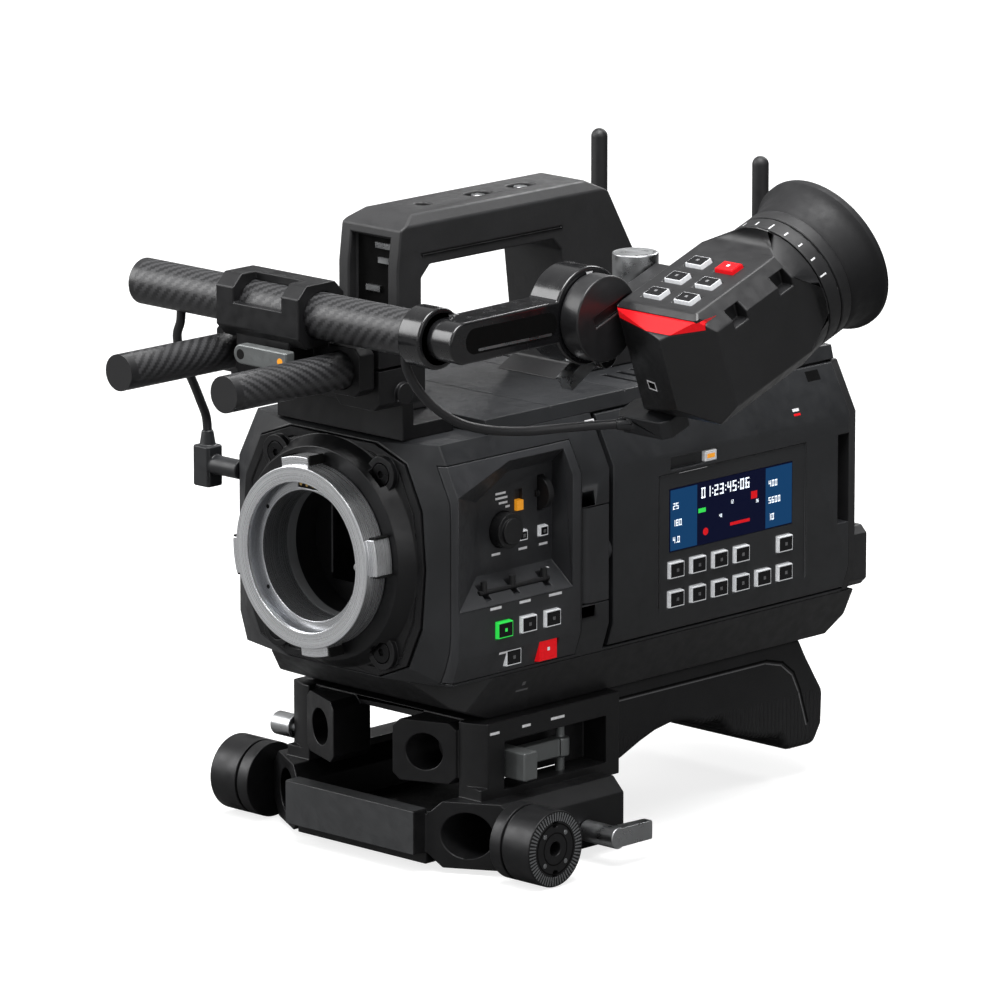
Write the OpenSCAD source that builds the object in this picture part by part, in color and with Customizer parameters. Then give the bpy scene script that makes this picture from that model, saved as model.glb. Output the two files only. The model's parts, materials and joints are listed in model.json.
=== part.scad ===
// Shoulder-mount digital cinema camera, millimetres.
// Origin: centre of the lens flange face. The lens side faces -Y, the operator side is +X, up is +Z.

/* [Lens mount] */
// Bore of the lens throat
throat_d = 54; // [50:0.5:56]
// Outside of the fixed flange disc
flange_d = 69.8; // [68:0.2:71]
// Thickness of the fixed flange disc
flange_t = 5; // [4:0.5:5.5]
// Outside of the lock ring
ring_d = 75; // [73.5:0.5:78]
// Reach of the finger tabs past the rim
tab_reach = 3.8; // [2:0.2:5]
// Lock ring's front face ahead of the flange face
ring_front = 5; // [4:0.5:6]
// Thickness of the lock ring's front lip
ring_lip = 2; // [1.5:0.25:3]
// Opening in the lock ring's front lip
ring_open_d = 62; // [60:0.5:64]
// Distance from the flange face to the sensor surface
flange_focal = 52; // [48:0.5:56]

/* [Housing] */
// Width across the side faces
body_w = 126; // [122:1:130]
// Front face of the housing behind the flange face
body_front = 14; // [13.5:0.25:15]
// Rear face of the housing behind the flange face
body_back = 257; // [252:1:262]
// Upper edge of the housing above the lens axis
body_top = 50; // [49:0.5:52]
// Lower edge of the housing below the lens axis
body_low = 49; // [48:0.5:51]
// Height of the tray under the housing
tray_h = 20; // [18:0.5:21]
// Height of the top cover
cover_h = 6; // [5:0.5:7]
// Wall of the housing
wall = 3; // [2.5:0.25:3.5]

/* [Monitor door] */
// Front edge of the door behind the flange face
door_front = 112.5; // [112:0.25:113.5]
// Thickness of the door
door_t = 13; // [12:0.25:13]
// Width of the status screen
status_w = 75; // [70:1:76]
// Height of the status screen
status_h = 26.5; // [24:0.5:28]
// Width of the inner touch screen
touch_w = 112; // [100:1:116]
// Height of the inner touch screen
touch_h = 66; // [60:1:70]

/* [Keys] */
// Long side of a white key
key_w = 9; // [7:0.25:9.5]
// Short side of a white key
key_h = 7; // [6:0.25:7.5]
// Height of a key above its face
key_rise = 1.5; // [1:0.1:2]
// Depth of a key's body
key_depth = 2.6; // [2.2:0.1:3]
// Diameter of the menu dial
dial_d = 14.5; // [12:0.5:15]
// Side of the record button
record_w = 11; // [9:0.5:11.5]

/* [Handle] */
// Width of the handle
handle_w = 34; // [30:1:36]
// Top of the handle above the lens axis
handle_top = 136; // [130:1:140]
// Thickness of the grip
grip_t = 21; // [19:0.5:23]

/* [Rods and cross tube] */
// Diameter of the light support rods
rod_d = 15; // [14.8:0.1:15.2]
// Distance between the light support rods
rod_gap = 60; // [60:0.5:62]
// Height of the viewfinder rods above the lens axis
rod_z = 83; // [82:0.5:84]
// Length of the viewfinder rods ahead of the flange face
rod_reach = 77; // [70:1:85]
// Diameter of the cross tube
tube_d = 19; // [18:0.5:20]
// Wall of the cross tube
tube_wall = 1.6; // [1.2:0.2:2]
// Height of the cross tube above the lens axis
tube_z = 105; // [104:0.5:107]

/* [Viewfinder] */
// Width of the viewfinder body
evf_w = 52; // [48:1:54]
// Height of the viewfinder body
evf_h = 50; // [46:1:52]
// Length of the viewfinder body before its barrel
evf_len = 67; // [64:1:74]
// Upward tilt at rest, in degrees
evf_tilt = 20; // [10:0.1:25]
// Diameter of the diopter ring
diopter_d = 58; // [54:1:60]
// Diameter of the eyecup's rim
eyecup_d = 67; // [62:1:72]

/* [Base] */
// Diameter of the heavy support rods
heavy_rod_d = 19; // [18.8:0.1:19.2]
// Distance between the heavy support rods
heavy_rod_gap = 104; // [103:0.5:106]
// Depth of the light rods below the lens axis
light_rod_drop = 83; // [81:0.5:85]
// Depth of the heavy rods below the lens axis
heavy_rod_drop = 115; // [114:0.5:116]
// Diameter of the rosettes
rosette_d = 31.8; // [30:0.2:33]
// Width across the outer faces of the rosettes
rosette_span = 184; // [180:1:190]
// Width of the shoulder pad
pad_w = 90; // [80:1:96]

/* [Antennas] */
// Diameter of an antenna
antenna_d = 7; // [6:0.25:7.5]
// Top of an antenna above the lens axis
antenna_top = 141; // [120:1:150]

/* [Hidden] */
$fn = 48;
// Overrun of a cut past the face it opens
cut = 2;
// Thickness of a slice that a hull starts from
slice = 0.2;
// Running clearance of a shaft in its hole, per side
run = 0.05;
// Gap between neighbouring pieces that don't bear on each other
gap = 0.3;
// Gap around a key or a button
key_gap = 0.25;
// Room under a key for its travel
key_room = 1;

// Housing: places that follow the driving sizes
side_x = body_w / 2;
side_top = 29;
side_low = 37;
shoulder_inset = 11;
skirt_inset = 4;
nose_depth = 8;
tray_z = -body_low - tray_h;
cover_z = body_top + cover_h;
shoulder_x = side_x - shoulder_inset;
skirt_x = side_x - skirt_inset;
tray_inset = 13;
tray_x = side_x - tray_inset;
cover_inset = 1.5;
cover_x = shoulder_x - cover_inset;
cavity_front = body_front + nose_depth;

// Bezel of the lens mount
bezel_inset = 11;
bezel_half_w = side_x - bezel_inset;
bezel_half_h = 48;
bezel_rim = 1;
bezel_t = 4;
bezel_proud = 1;
bezel_front = body_front - bezel_proud;
bezel_shares = [[0.5, -1], [0.81, -0.86], [0.96, -0.5], [1, 0], [0.96, 0.5], [0.79, 0.87], [0.46, 1]];
bezel_line = 3.5;
bezel_line_w = 0.8;
bezel_line_deep = 0.5;
boss_d = 96;
boss_front_d = 88;
barrel_wall = 4;
barrel_r = throat_d / 2 + barrel_wall;
land_gap = 1;
land_r = flange_d / 2 - land_gap;
ring_back = flange_t + 1;
screw_x = 30;
screw_top_z = 36.5;
screw_low_z = 37;
screw_head_d = 9;
screw_head_t = 2.2;
screw_shank_d = 4;
screw_len = 10;
hex_d = 3.4;
hex_deep = 1.2;
ear_d = 15;
ear_t = 2.4;

function share(s) = s;
function mirrored(p) = concat(p, [for (i = [len(p) - 1:-1:0]) [-p[i][0], p[i][1]]]);
function bezel_points(grow) =
    mirrored([for (s = bezel_shares) [s[0] * (bezel_half_w + grow), s[1] * (bezel_half_h + grow)]]);
function half_section(grow) = [[skirt_x + grow, -body_low - grow], [side_x + grow, -side_low],
    [side_x + grow, side_top], [shoulder_x + grow, body_top + grow]];

// A box between two corners
module block(x, y, z) {
    translate([x[0], y[0], z[0]]) cube([x[1] - x[0], y[1] - y[0], z[1] - z[0]]);
}
// An X-Z outline pushed along Y
module prism_y(points, y) {
    translate([0, y[1], 0]) rotate([90, 0, 0]) linear_extrude(y[1] - y[0]) polygon(points);
}
// A Y-Z outline pushed along X
module prism_x(points, x) {
    translate([x[0], 0, 0]) rotate([90, 0, 90]) linear_extrude(x[1] - x[0]) polygon(points);
}
// An X-Y outline pushed along Z
module prism_z(points, z) {
    translate([0, 0, z[0]]) linear_extrude(z[1] - z[0]) polygon(points);
}
module rod_x(r, x, y, z) {
    translate([x[0], y, z]) rotate([0, 90, 0]) cylinder(r = r, h = x[1] - x[0]);
}
module rod_y(r, x, y, z) {
    translate([x, y[0], z]) rotate([-90, 0, 0]) cylinder(r = r, h = y[1] - y[0]);
}
module rod_z(r, x, y, z) {
    translate([x, y, z[0]]) cylinder(r = r, h = z[1] - z[0]);
}
// A box with its four edges along Y cut at 45 degrees
module chamfered_y(x, y, z, c) {
    prism_y([[x[0] + c, z[0]], [x[1] - c, z[0]], [x[1], z[0] + c], [x[1], z[1] - c],
        [x[1] - c, z[1]], [x[0] + c, z[1]], [x[0], z[1] - c], [x[0], z[0] + c]], y);
}
// A box with its four edges along X cut at 45 degrees
module chamfered_x(x, y, z, c) {
    prism_x([[y[0] + c, z[0]], [y[1] - c, z[0]], [y[1], z[0] + c], [y[1], z[1] - c],
        [y[1] - c, z[1]], [y[0] + c, z[1]], [y[0], z[1] - c], [y[0], z[0] + c]], x);
}
// A box with its four edges along Z cut at 45 degrees
module chamfered_z(x, y, z, c) {
    prism_z([[x[0] + c, y[0]], [x[1] - c, y[0]], [x[1], y[0] + c], [x[1], y[1] - c],
        [x[1] - c, y[1]], [x[0] + c, y[1]], [x[0], y[1] - c], [x[0], y[0] + c]], z);
}
module both_sides() {
    children();
    mirror([1, 0, 0]) children();
}

// Control panel: places on the operator side
panel_front = 20;
panel_back_y = 93.5;
panel_low_z = -47.4;
panel_high_z = 42;
panel_back_inset = 16;
panel_back_x = side_x - panel_back_inset;
panel_flat_inset = 12;
panel_flat_x = side_x - panel_flat_inset;
panel_flat_front = 44;
panel_flat_back = 88.5;
shelf_in_z = -8;
shelf_out_z = -17.5;
flat_chamfer_y = 63;
flat_chamfer_z = 23;
flat_top_z = 33;
panel_mouth_front = 22;
panel_mouth_y = 52;
panel_mouth_z = 30;
panel_mouth_top = 44;
panel_gap = 0.2;

// Monitor door and its hinge
door_in_x = side_x - door_t;
door_low_z = -47;
door_high_z = 49;
pocket_back_gap = 0.4;
pocket_x = door_in_x - pocket_back_gap;
pocket_gap = 0.6;
hinge_r = 5.5;
hinge_x = side_x - hinge_r;
hinge_y = 100;
hinge_low_z = -26.5;
hinge_high_z = 13.7;
hinge_back_y = 110;
pin_r = 2;
pin_reach = 7;
bridge_front_y = hinge_y - hinge_r;
pull_front_y = 250;
pull_z = [-18, 20];
pull_deep = 5;
inset_y = [140, 230];
inset_z = [-45, 20];
inset_deep = 0.6;
status_y = 147;
status_t = 1.6;
touch_y = 124;
touch_t = 2;
key_y0 = 150.5;
key_pitch = 13.3;
upper_key_z = -21;
lower_key_z = -33.3;
upper_key_shares = [0, 1, 2, 3, 5];
lower_key_shares = [0, 1, 2, 3, 4, 5];
slider_y = [147, 175];
slider_z = 24;
slider_h = 5;
slider_deep = 2.4;
slider_w = 7;

// A rounded key that stands on a face at x
module key_x(x, y, z, w, h, deep = key_depth) {
    chamfered_x([x - deep, x + key_rise], [y - w / 2, y + w / 2], [z - h / 2, z + h / 2], key_gap * 4);
}
// The well that a key travels in
module key_well(x, y, z, w, h, deep = key_depth) {
    block([x - deep - key_room, x + cut],
        [y - w / 2 - key_gap, y + w / 2 + key_gap], [z - h / 2 - key_gap, z + h / 2 + key_gap]);
}

module housing_solid() {
    hull() {
        prism_y(bezel_points(bezel_rim), [body_front, body_front + slice]);
        prism_y(mirrored(half_section(0)), [cavity_front, cavity_front + slice]);
    }
    prism_y(mirrored(half_section(0)), [cavity_front, body_back]);
}

board_z = -35;
board_t = 1.6;
board_edge = [8, 21];
board_x = [-side_x + board_edge[0], side_x - board_edge[1]];
board_back_gap = 11;
board_y = [76, body_back - board_back_gap];
post_r = 3;
post_inset = 6;
port_y = 24;
port_z = 22;
cover_opening_edge = 12;
cover_opening_x = shoulder_x - cover_opening_edge;
cover_opening_back = 17;
cover_opening_y = [60, body_back - cover_opening_back];
side_recess_back = 22;
side_recess_y = [40, body_back - side_recess_back];
side_recess_z = [-32, 22];
side_recess_deep = 1;
pocket_wall = 3;
ledge = 1.6;

module chassis_shell() {
    color([0.16, 0.16, 0.17]) difference() {
        union() {
            difference() {
                housing_solid();
                prism_y(mirrored(half_section(-wall)), [cavity_front, body_back + cut]);
            }
            // Inner wall behind the monitor door and the boards' posts
            block([pocket_x - pocket_wall, pocket_x], [panel_back_y + wall, body_back],
                [-body_low + wall, body_top - wall]);
            for (x = [board_x[0] + post_inset, board_x[1] - post_inset])
                for (y = [board_y[0] + post_inset, board_y[1] - post_inset])
                    rod_z(post_r, x, y, [-body_low + wall, board_z]);
            // Blocks that hold the hinge pin
            for (z = [[hinge_low_z - gap - pin_reach - ledge, hinge_low_z - gap],
                    [hinge_high_z + gap, hinge_high_z + gap + pin_reach + ledge]])
                block([pocket_x, side_x - wall], [bridge_front_y - gap, hinge_back_y], z);
        }
        // Lens side
        prism_y(bezel_points(gap), [body_front - cut, body_front + bezel_t - bezel_proud]);
        rod_y(barrel_r + gap, 0, [body_front - cut, cavity_front + cut], 0);
        // Control panel
        block([panel_back_x - panel_gap, side_x + cut], [panel_front, panel_back_y],
            [panel_low_z, panel_high_z]);
        // Hinge block
        block([pocket_x, side_x + cut], [bridge_front_y - gap, door_front + cut],
            [hinge_low_z - gap, hinge_high_z + gap]);
        // Monitor door
        block([pocket_x, side_x + cut], [hinge_back_y, body_back + cut],
            [door_low_z - pocket_gap, body_top + cut]);
        rod_z(pin_r + run, hinge_x, hinge_y, [hinge_low_z - gap - pin_reach, hinge_high_z + gap + pin_reach]);
        // Service opening under the top cover
        block([-cover_opening_x, cover_opening_x], cover_opening_y, [0, body_top + cut]);
        // Shallow panel on the far side
        block([-side_x - cut, -side_x + side_recess_deep], side_recess_y, side_recess_z);
        screw_holes();
    }
}

tray_wall = 3;
tray_nose = 3;
tray_front = body_front + tray_nose;
tray_over = 8;
tray_back = body_back + tray_over;
tray_mid_y = 31;
tray_mid_z = -61;
tray_low_y = 52;
tray_rear_cut = 8;
tray_nose_x = 40;
module bottom_tray() {
    color([0.13, 0.13, 0.14]) difference() {
        intersection() {
            prism_y(mirrored([[tray_x, tray_z], [skirt_x, -body_low]]), [tray_front, tray_back]);
            prism_x([[tray_front, -body_low], [tray_mid_y, tray_mid_z], [tray_low_y, tray_z],
                [tray_back - tray_rear_cut, tray_z], [tray_back, tray_z + tray_rear_cut],
                [tray_back, -body_low]], [-side_x, side_x]);
            prism_z([[-tray_nose_x, tray_front], [tray_nose_x, tray_front], [side_x, tray_low_y],
                [side_x, tray_back], [-side_x, tray_back], [-side_x, tray_low_y]],
                [tray_z - cut, -body_low + cut]);
        }
        block([-tray_x + tray_wall, tray_x - tray_wall], [tray_low_y + tray_wall, tray_back - tray_rear_cut],
            [tray_z + tray_wall, -body_low + cut]);
    }
}

cover_front = 50;
cover_over = 2;
cover_back = body_back + cover_over;
cover_groove_w = 0.6;
cover_groove_back = 52;
cover_groove_y = [88, 132, body_back - cover_groove_back];
cover_slot_edge = 6.5;
cover_slot_len = 20;
cover_slot_x = [cover_x - cover_slot_edge - cover_slot_len, cover_x - cover_slot_edge];
cover_slot_back = 61;
cover_slot_run = 50;
cover_slot_y = [body_back - cover_slot_back - cover_slot_run, body_back - cover_slot_back];
cover_slot_n = 6;
module top_cover() {
    color([0.2, 0.2, 0.21]) for (x = [-antenna_x, antenna_x]) antenna_ears(x);
    color([0.2, 0.2, 0.21]) difference() {
        prism_y(mirrored([[shoulder_x, body_top], [cover_x, cover_z]]), [cover_front, cover_back]);
        for (y = cover_groove_y)
            block([-side_x, side_x], [y, y + cover_groove_w], [cover_z - cover_groove_w, cover_z + cut]);
        both_sides() for (i = [0:cover_slot_n - 1]) let (p = (cover_slot_y[1] - cover_slot_y[0]) / cover_slot_n)
            block(cover_slot_x, [cover_slot_y[0] + i * p, cover_slot_y[0] + (i + share(0.4)) * p],
                [body_top - cut, cover_z + cut]);
    }
}

// Places of the bezel's four screws
function bezel_screws() = [for (x = [-screw_x, screw_x]) for (z = [-screw_low_z, screw_top_z]) [x, z]];
module screw_holes() {
    for (p = bezel_screws())
        rod_y(screw_shank_d / 2 + run, p[0], [bezel_front - cut, bezel_front + screw_len], p[1]);
}
boss_front = ring_back + gap;
module mount_plate() {
    color([0.06, 0.06, 0.065]) difference() {
        union() {
            prism_y(bezel_points(0), [bezel_front, bezel_front + bezel_t]);
            translate([0, bezel_front, 0]) rotate([90, 0, 0])
                cylinder(r1 = boss_d / 2, r2 = boss_front_d / 2, h = bezel_front - boss_front);
            rod_y(land_r, 0, [flange_t, bezel_front], 0);
            for (p = bezel_screws()) rod_y(ear_d / 2, p[0], [bezel_front - ear_t, bezel_front], p[1]);
        }
        rod_y(barrel_r + run, 0, [flange_t - cut, body_back], 0);
        // Stepped line around the bezel
        difference() {
            prism_y(bezel_points(-bezel_line), [bezel_front - cut, bezel_front + bezel_line_deep]);
            prism_y(bezel_points(-bezel_line - bezel_line_w),
                [bezel_front - cut - cut, bezel_front + bezel_line_deep + cut]);
            rod_y(boss_d / 2 + bezel_line_w, 0, [bezel_front - cut - cut, bezel_front + bezel_t], 0);
            for (p = bezel_screws())
                rod_y(ear_d / 2 + bezel_line_w, p[0], [bezel_front - cut - cut, bezel_front + bezel_t], p[1]);
        }
        screw_holes();
        for (p = bezel_screws())
            rod_y(screw_head_d / 2 + gap, p[0],
                [bezel_front - ear_t - cut, bezel_front - ear_t + screw_head_t], p[1]);
    }
}

barrel_back = body_front - gap;
pocket_r = [27.7, 30.4];
pocket_half = 6.5;
pocket_deep = 1;
contact_pitch = 3.4;
contact_count = 4;
contact_r = 0.7;
locator_r = 1.4;
module lens_flange() {
    color([0.75, 0.76, 0.78]) difference() {
        union() {
            rod_y(flange_d / 2, 0, [0, flange_t], 0);
            rod_y(barrel_r, 0, [flange_t, barrel_back], 0);
            rod_y(locator_r, throat_d / 2 + locator_r, [-ring_lip, 0], 0);
        }
        rod_y(throat_d / 2, 0, [-ring_front, barrel_back + cut], 0);
        block([-pocket_half, pocket_half], [-cut, pocket_deep], pocket_r);
    }
}
module contact_pins() {
    color([0.8, 0.6, 0.25]) for (i = [0:contact_count - 1])
        rod_y(contact_r, (i - (contact_count - 1) / 2) * contact_pitch,
            [gap, pocket_deep], (pocket_r[0] + pocket_r[1]) / 2);
}

tab_share = 0.2;
tab_turn = 8;
module lock_ring() {
    color([0.8, 0.81, 0.83]) difference() {
        union() {
            rod_y(ring_d / 2, 0, [-ring_front, ring_back], 0);
            intersection() {
                rod_y(ring_d / 2 + tab_reach, 0, [-ring_front + ring_lip, ring_back], 0);
                for (a = [0, 90]) rotate([0, a - tab_turn, 0])
                    block([-ring_d, ring_d], [-ring_front, ring_back],
                        [-ring_d * tab_share / 2, ring_d * tab_share / 2]);
            }
        }
        rod_y(ring_open_d / 2, 0, [-ring_front - cut, ring_back + cut], 0);
        rod_y(flange_d / 2 + run, 0, [-ring_front + ring_lip, ring_back + cut], 0);
    }
}

baffle_gap = 1;
hood_wall = 2;
sensor_box = 34;
sensor_back = 10;
sensor_w = 36;
sensor_h = 24;
sensor_frame = 1;
sensor_t = 1;
glass_w = 40;
glass_h = 28;
glass_t = 1.2;
glass_front = flange_focal - 2.6;
module sensor_module() {
    color([0.05, 0.05, 0.055]) difference() {
        union() {
            chamfered_y([-sensor_box, sensor_box], [cavity_front, flange_focal + sensor_back],
                [-sensor_box, sensor_box], wall * 2);
            rod_y(throat_d / 2 + baffle_gap + hood_wall, 0, [body_front, cavity_front + cut], 0);
        }
        rod_y(throat_d / 2 + baffle_gap, 0, [body_front - cut, glass_front - wall * 2], 0);
        block([-sensor_w / 2, sensor_w / 2], [body_front, flange_focal], [-sensor_h / 2, sensor_h / 2]);
        block([-glass_w / 2 - run, glass_w / 2 + run], [glass_front - sensor_frame, glass_front + glass_t],
            [-glass_h / 2 - run, glass_h / 2 + run]);
    }
}
module sensor_glass() {
    color([0.2, 0.35, 0.4]) block([-glass_w / 2, glass_w / 2], [glass_front, glass_front + glass_t],
        [-glass_h / 2, glass_h / 2]);
}

chip = [34, 34, 3];
chip_y = [88, 140];
module main_board() {
    color([0.05, 0.25, 0.15]) {
        block(board_x, board_y, [board_z, board_z + board_t]);
        for (x = [-chip[0], 0]) for (y = chip_y)
            block([x, x + chip[0] - chip[2] * 2], [y, y + chip[1]],
                [board_z + board_t, board_z + board_t + chip[2]]);
    }
}

sink_x = [-40, 34];
sink_back_gap = 77;
sink_y = [84, body_back - sink_back_gap];
sink_base = 5;
sink_z = board_z + board_t + chip[2];
fin_h = 24;
fin_n = 9;
fin_t = 1.6;
fan_back_gap = 49;
fan_depth = 14;
fan_y = [body_back - fan_back_gap - fan_depth, body_back - fan_back_gap];
fan_half = 27;
fan_r = 23.5;
fan_z = 0;
hub_r = 9;
axle_r = 1.5;
spider_t = 2;
module cooler_frame() {
    color([0.55, 0.56, 0.58]) {
        block(sink_x, sink_y, [sink_z, sink_z + sink_base]);
        for (i = [0:fin_n - 1]) let (x = sink_x[0] + i * (sink_x[1] - sink_x[0] - fin_t) / (fin_n - 1))
            block([x, x + fin_t], sink_y, [sink_z + sink_base, sink_z + sink_base + fin_h]);
        difference() {
            block([-fan_half, fan_half], fan_y, [board_z + board_t, fan_half]);
            rod_y(fan_r, 0, [fan_y[0] + spider_t, fan_y[1] + cut], fan_z);
            for (s = [-1, 1]) block([s > 0 ? hub_r : -fan_r, s > 0 ? fan_r : -hub_r],
                [fan_y[0] - cut, fan_y[1]], [-hub_r, hub_r]);
        }
        rod_y(axle_r, 0, [fan_y[0], fan_y[1] - spider_t], fan_z);
    }
}
blade_n = 7;
blade_pitch = 35;
blade_t = 1.2;
blade_chord = 10;
module fan_rotor() {
    rotor_y = [fan_y[0] + spider_t + gap, fan_y[1] - gap];
    color([0.1, 0.1, 0.1]) difference() {
        union() {
            rod_y(hub_r, 0, rotor_y, fan_z);
            for (i = [0:blade_n - 1])
                translate([0, (rotor_y[0] + rotor_y[1]) / 2, fan_z])
                    rotate([0, i * 360 / blade_n, 0]) rotate([blade_pitch, 0, 0])
                        block([hub_r - blade_t, fan_r - blade_t], [-blade_chord / 2, blade_chord / 2],
                            [-blade_t / 2, blade_t / 2]);
        }
        rod_y(axle_r + run, 0, [fan_y[0] - cut, fan_y[1] + cut], fan_z);
    }
}

rear_t = 4;
rear_gap = 0.2;
rear_block_z = [22, 39];
rear_block_t = 4;
rear_low_z = -23;
rear_low_t = 12;
rear_low_back = body_back + rear_t + rear_low_t;
plate_x = 40;
plate_z = [-19, 19];
plate_t = 5;
plate_slot_w = 8;
plate_slot_x = 24;
jack_r = 5;
jack_len = 5;
jack_inset = 15;
jack_pitch = 14;
jack_out = side_x - jack_inset;
jack_in = jack_out - jack_pitch;
jack_x = [-jack_out, -jack_in, jack_in, jack_out];
jack_z = -36;
module rear_plate() {
    back = body_back + rear_t;
    color([0.12, 0.12, 0.13]) difference() {
        union() {
            prism_y(mirrored(half_section(-rear_gap)), [body_back, back]);
            chamfered_y([-shoulder_x, shoulder_x], [back, back + rear_block_t], rear_block_z, wall);
            chamfered_y([-skirt_x, skirt_x], [back, rear_low_back], [-body_low + gap, rear_low_z], wall);
            chamfered_y([-plate_x, plate_x], [back, back + plate_t], plate_z, wall);
            for (x = jack_x) rod_y(jack_r, x, [rear_low_back, rear_low_back + jack_len], jack_z);
        }
        for (x = [-plate_slot_x, plate_slot_x])
            block([x - plate_slot_w / 2, x + plate_slot_w / 2], [back + plate_t / 2, back + plate_t + cut],
                [plate_z[0] + wall, plate_z[1] + cut]);
        for (x = jack_x)
            rod_y(jack_r - wall / 2, x, [rear_low_back, rear_low_back + jack_len + cut], jack_z);
    }
}

// Controls of the panel
dial_y = 59.5;
dial_z = 9.3;
dial_t = 5;
dial_gap = 0.3;
dial_axle_r = 2;
dial_axle_len = 3;
power_y = 69;
power_z = 20;
power_slot = [4.4, 9];
power_knob = [3.8, 4.2, 2.2];
wheel_y = 82;
wheel_z = 21;
wheel_r = 7;
wheel_t = 3;
wheel_sink = 4.2;
wheel_slot = 0.4;
axle_stub = 1.6;
toggle_y = [42, 58.5, 77];
toggle_inset = 5.5;
toggle_x = side_x - toggle_inset;
toggle_r = 1.4;
toggle_len = 4.6;
toggle_bar_r = 1;
face_key_y = [48, 62, 76];
face_key_z = -28.4;
low_key_y = 55;
low_row_z = -41.3;
record_y = 75;
low_face_inset = 2.2;
low_face_x = side_x - low_face_inset;
small_key = [5, 4.5, 1.2];
small_key_y = [71, 83];
small_key_z = 5;

module panel_solid() {
    intersection() {
        housing_solid();
        block([panel_back_x, side_x + cut], [panel_front + panel_gap, panel_back_y - panel_gap],
            [panel_low_z + panel_gap, panel_high_z - panel_gap]);
    }
}
// Toggle hinge line runs in the shelf's slope
toggle_z = shelf_in_z + (shelf_out_z - shelf_in_z) * (toggle_x - panel_flat_x) / (side_x - panel_flat_x);
module control_panel() {
    color([0.15, 0.155, 0.165]) difference() {
        panel_solid();
        // Upper recess, its floor is the flat panel and its lower side the shelf
        hull() {
            prism_x([[panel_flat_front, shelf_in_z], [panel_flat_back, shelf_in_z], [panel_flat_back, flat_top_z],
                [flat_chamfer_y, flat_top_z], [panel_flat_front, flat_chamfer_z]],
                [panel_flat_x, panel_flat_x + slice]);
            prism_x([[panel_mouth_front, shelf_out_z], [panel_flat_back, shelf_out_z],
                [panel_flat_back, panel_mouth_top], [panel_mouth_y, panel_mouth_top],
                [panel_mouth_front, panel_mouth_z]], [side_x - slice, side_x]);
        }
        rod_x(dial_d / 2 + gap, [panel_flat_x - dial_t / 2, side_x], dial_y, dial_z);
        rod_x(dial_axle_r + run, [panel_back_x + gap, side_x], dial_y, dial_z);
        block([panel_flat_x - power_knob[2], side_x], [power_y - power_slot[0] / 2, power_y + power_slot[0] / 2],
            [power_z - power_slot[1] / 2, power_z + power_slot[1] / 2]);
        rod_y(wheel_r + wheel_slot, panel_flat_x + wheel_r / 2 - wheel_sink,
            [wheel_y - wheel_t / 2 - wheel_slot, wheel_y + wheel_t / 2 + wheel_slot], wheel_z);
        rod_y(axle_r + run, panel_flat_x + wheel_r / 2 - wheel_sink,
            [wheel_y - wheel_t / 2 - axle_stub - gap, wheel_y + wheel_t / 2 + axle_stub + gap], wheel_z);
        // Toggles turn on one bar
        for (y = toggle_y) intersection() {
            translate([toggle_x, y - toggle_r - key_gap, toggle_z]) rotate([-90, 0, 0])
                cylinder(r = toggle_len + gap, h = 2 * (toggle_r + key_gap));
            block([toggle_x - toggle_r * 2.5, toggle_x + toggle_r * 2.5], [y - toggle_len, y + toggle_len],
                [toggle_z - toggle_r * 2, toggle_z + toggle_len * 2]);
        }
        rod_y(toggle_bar_r + run, toggle_x,
            [toggle_y[0] - toggle_r * 2 - gap, toggle_y[2] + toggle_r * 2 + gap], toggle_z);
        for (y = face_key_y) key_well(side_x, y, face_key_z, key_w, key_h);
        for (y = small_key_y) key_well(panel_flat_x, y, small_key_z, small_key[0], small_key[1], small_key[2]);
        key_well(low_face_x, low_key_y, low_row_z, key_w, key_h);
        key_well(low_face_x, record_y, low_row_z, record_w, record_w * share(0.9));
    }
}
module green_key() { color([0.1, 0.6, 0.15]) key_x(side_x, face_key_y[0], face_key_z, key_w, key_h); }
module white_keys() {
    color([0.15, 0.15, 0.15]) {
        for (i = [1, 2]) key_x(side_x, face_key_y[i], face_key_z, key_w, key_h);
        for (y = small_key_y) key_x(panel_flat_x, y, small_key_z, small_key[0], small_key[1], small_key[2]);
    }
}
module low_key() { color([0.15, 0.15, 0.15]) key_x(low_face_x, low_key_y, low_row_z, key_w, key_h); }
module record_button() {
    color([0.8, 0.05, 0.07]) key_x(low_face_x, record_y, low_row_z, record_w, record_w * share(0.9));
}
dial_cap_share = 0.75;
module menu_dial() {
    color([0.13, 0.13, 0.14]) {
        rod_x(dial_d / 2, [panel_flat_x - dial_t / 2 + dial_gap, panel_flat_x + dial_t], dial_y, dial_z);
        rod_x(dial_axle_r, [panel_flat_x - dial_t / 2 - dial_axle_len * share(0.4), panel_flat_x],
            dial_y, dial_z);
        rod_x(dial_d / 2 * dial_cap_share, [panel_flat_x + dial_t, panel_flat_x + dial_t + key_rise],
            dial_y, dial_z);
    }
}
module shelf_toggles() {
    color([0.1, 0.1, 0.1]) {
        rod_y(toggle_bar_r, toggle_x, [toggle_y[0] - toggle_r * 2, toggle_y[2] + toggle_r * 2], toggle_z);
        for (y = toggle_y) {
            rod_z(toggle_r, toggle_x, y, [toggle_z, toggle_z + toggle_len]);
        }
    }
}
module power_switch() {
    color([0.85, 0.6, 0.2])
        block([panel_flat_x - power_knob[2] + gap, panel_flat_x + power_knob[2] / 2],
            [power_y - power_knob[0] / 2, power_y + power_knob[0] / 2],
            [power_z - power_slot[1] / 2 + gap, power_z - power_slot[1] / 2 + gap + power_knob[1]]);
}
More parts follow.
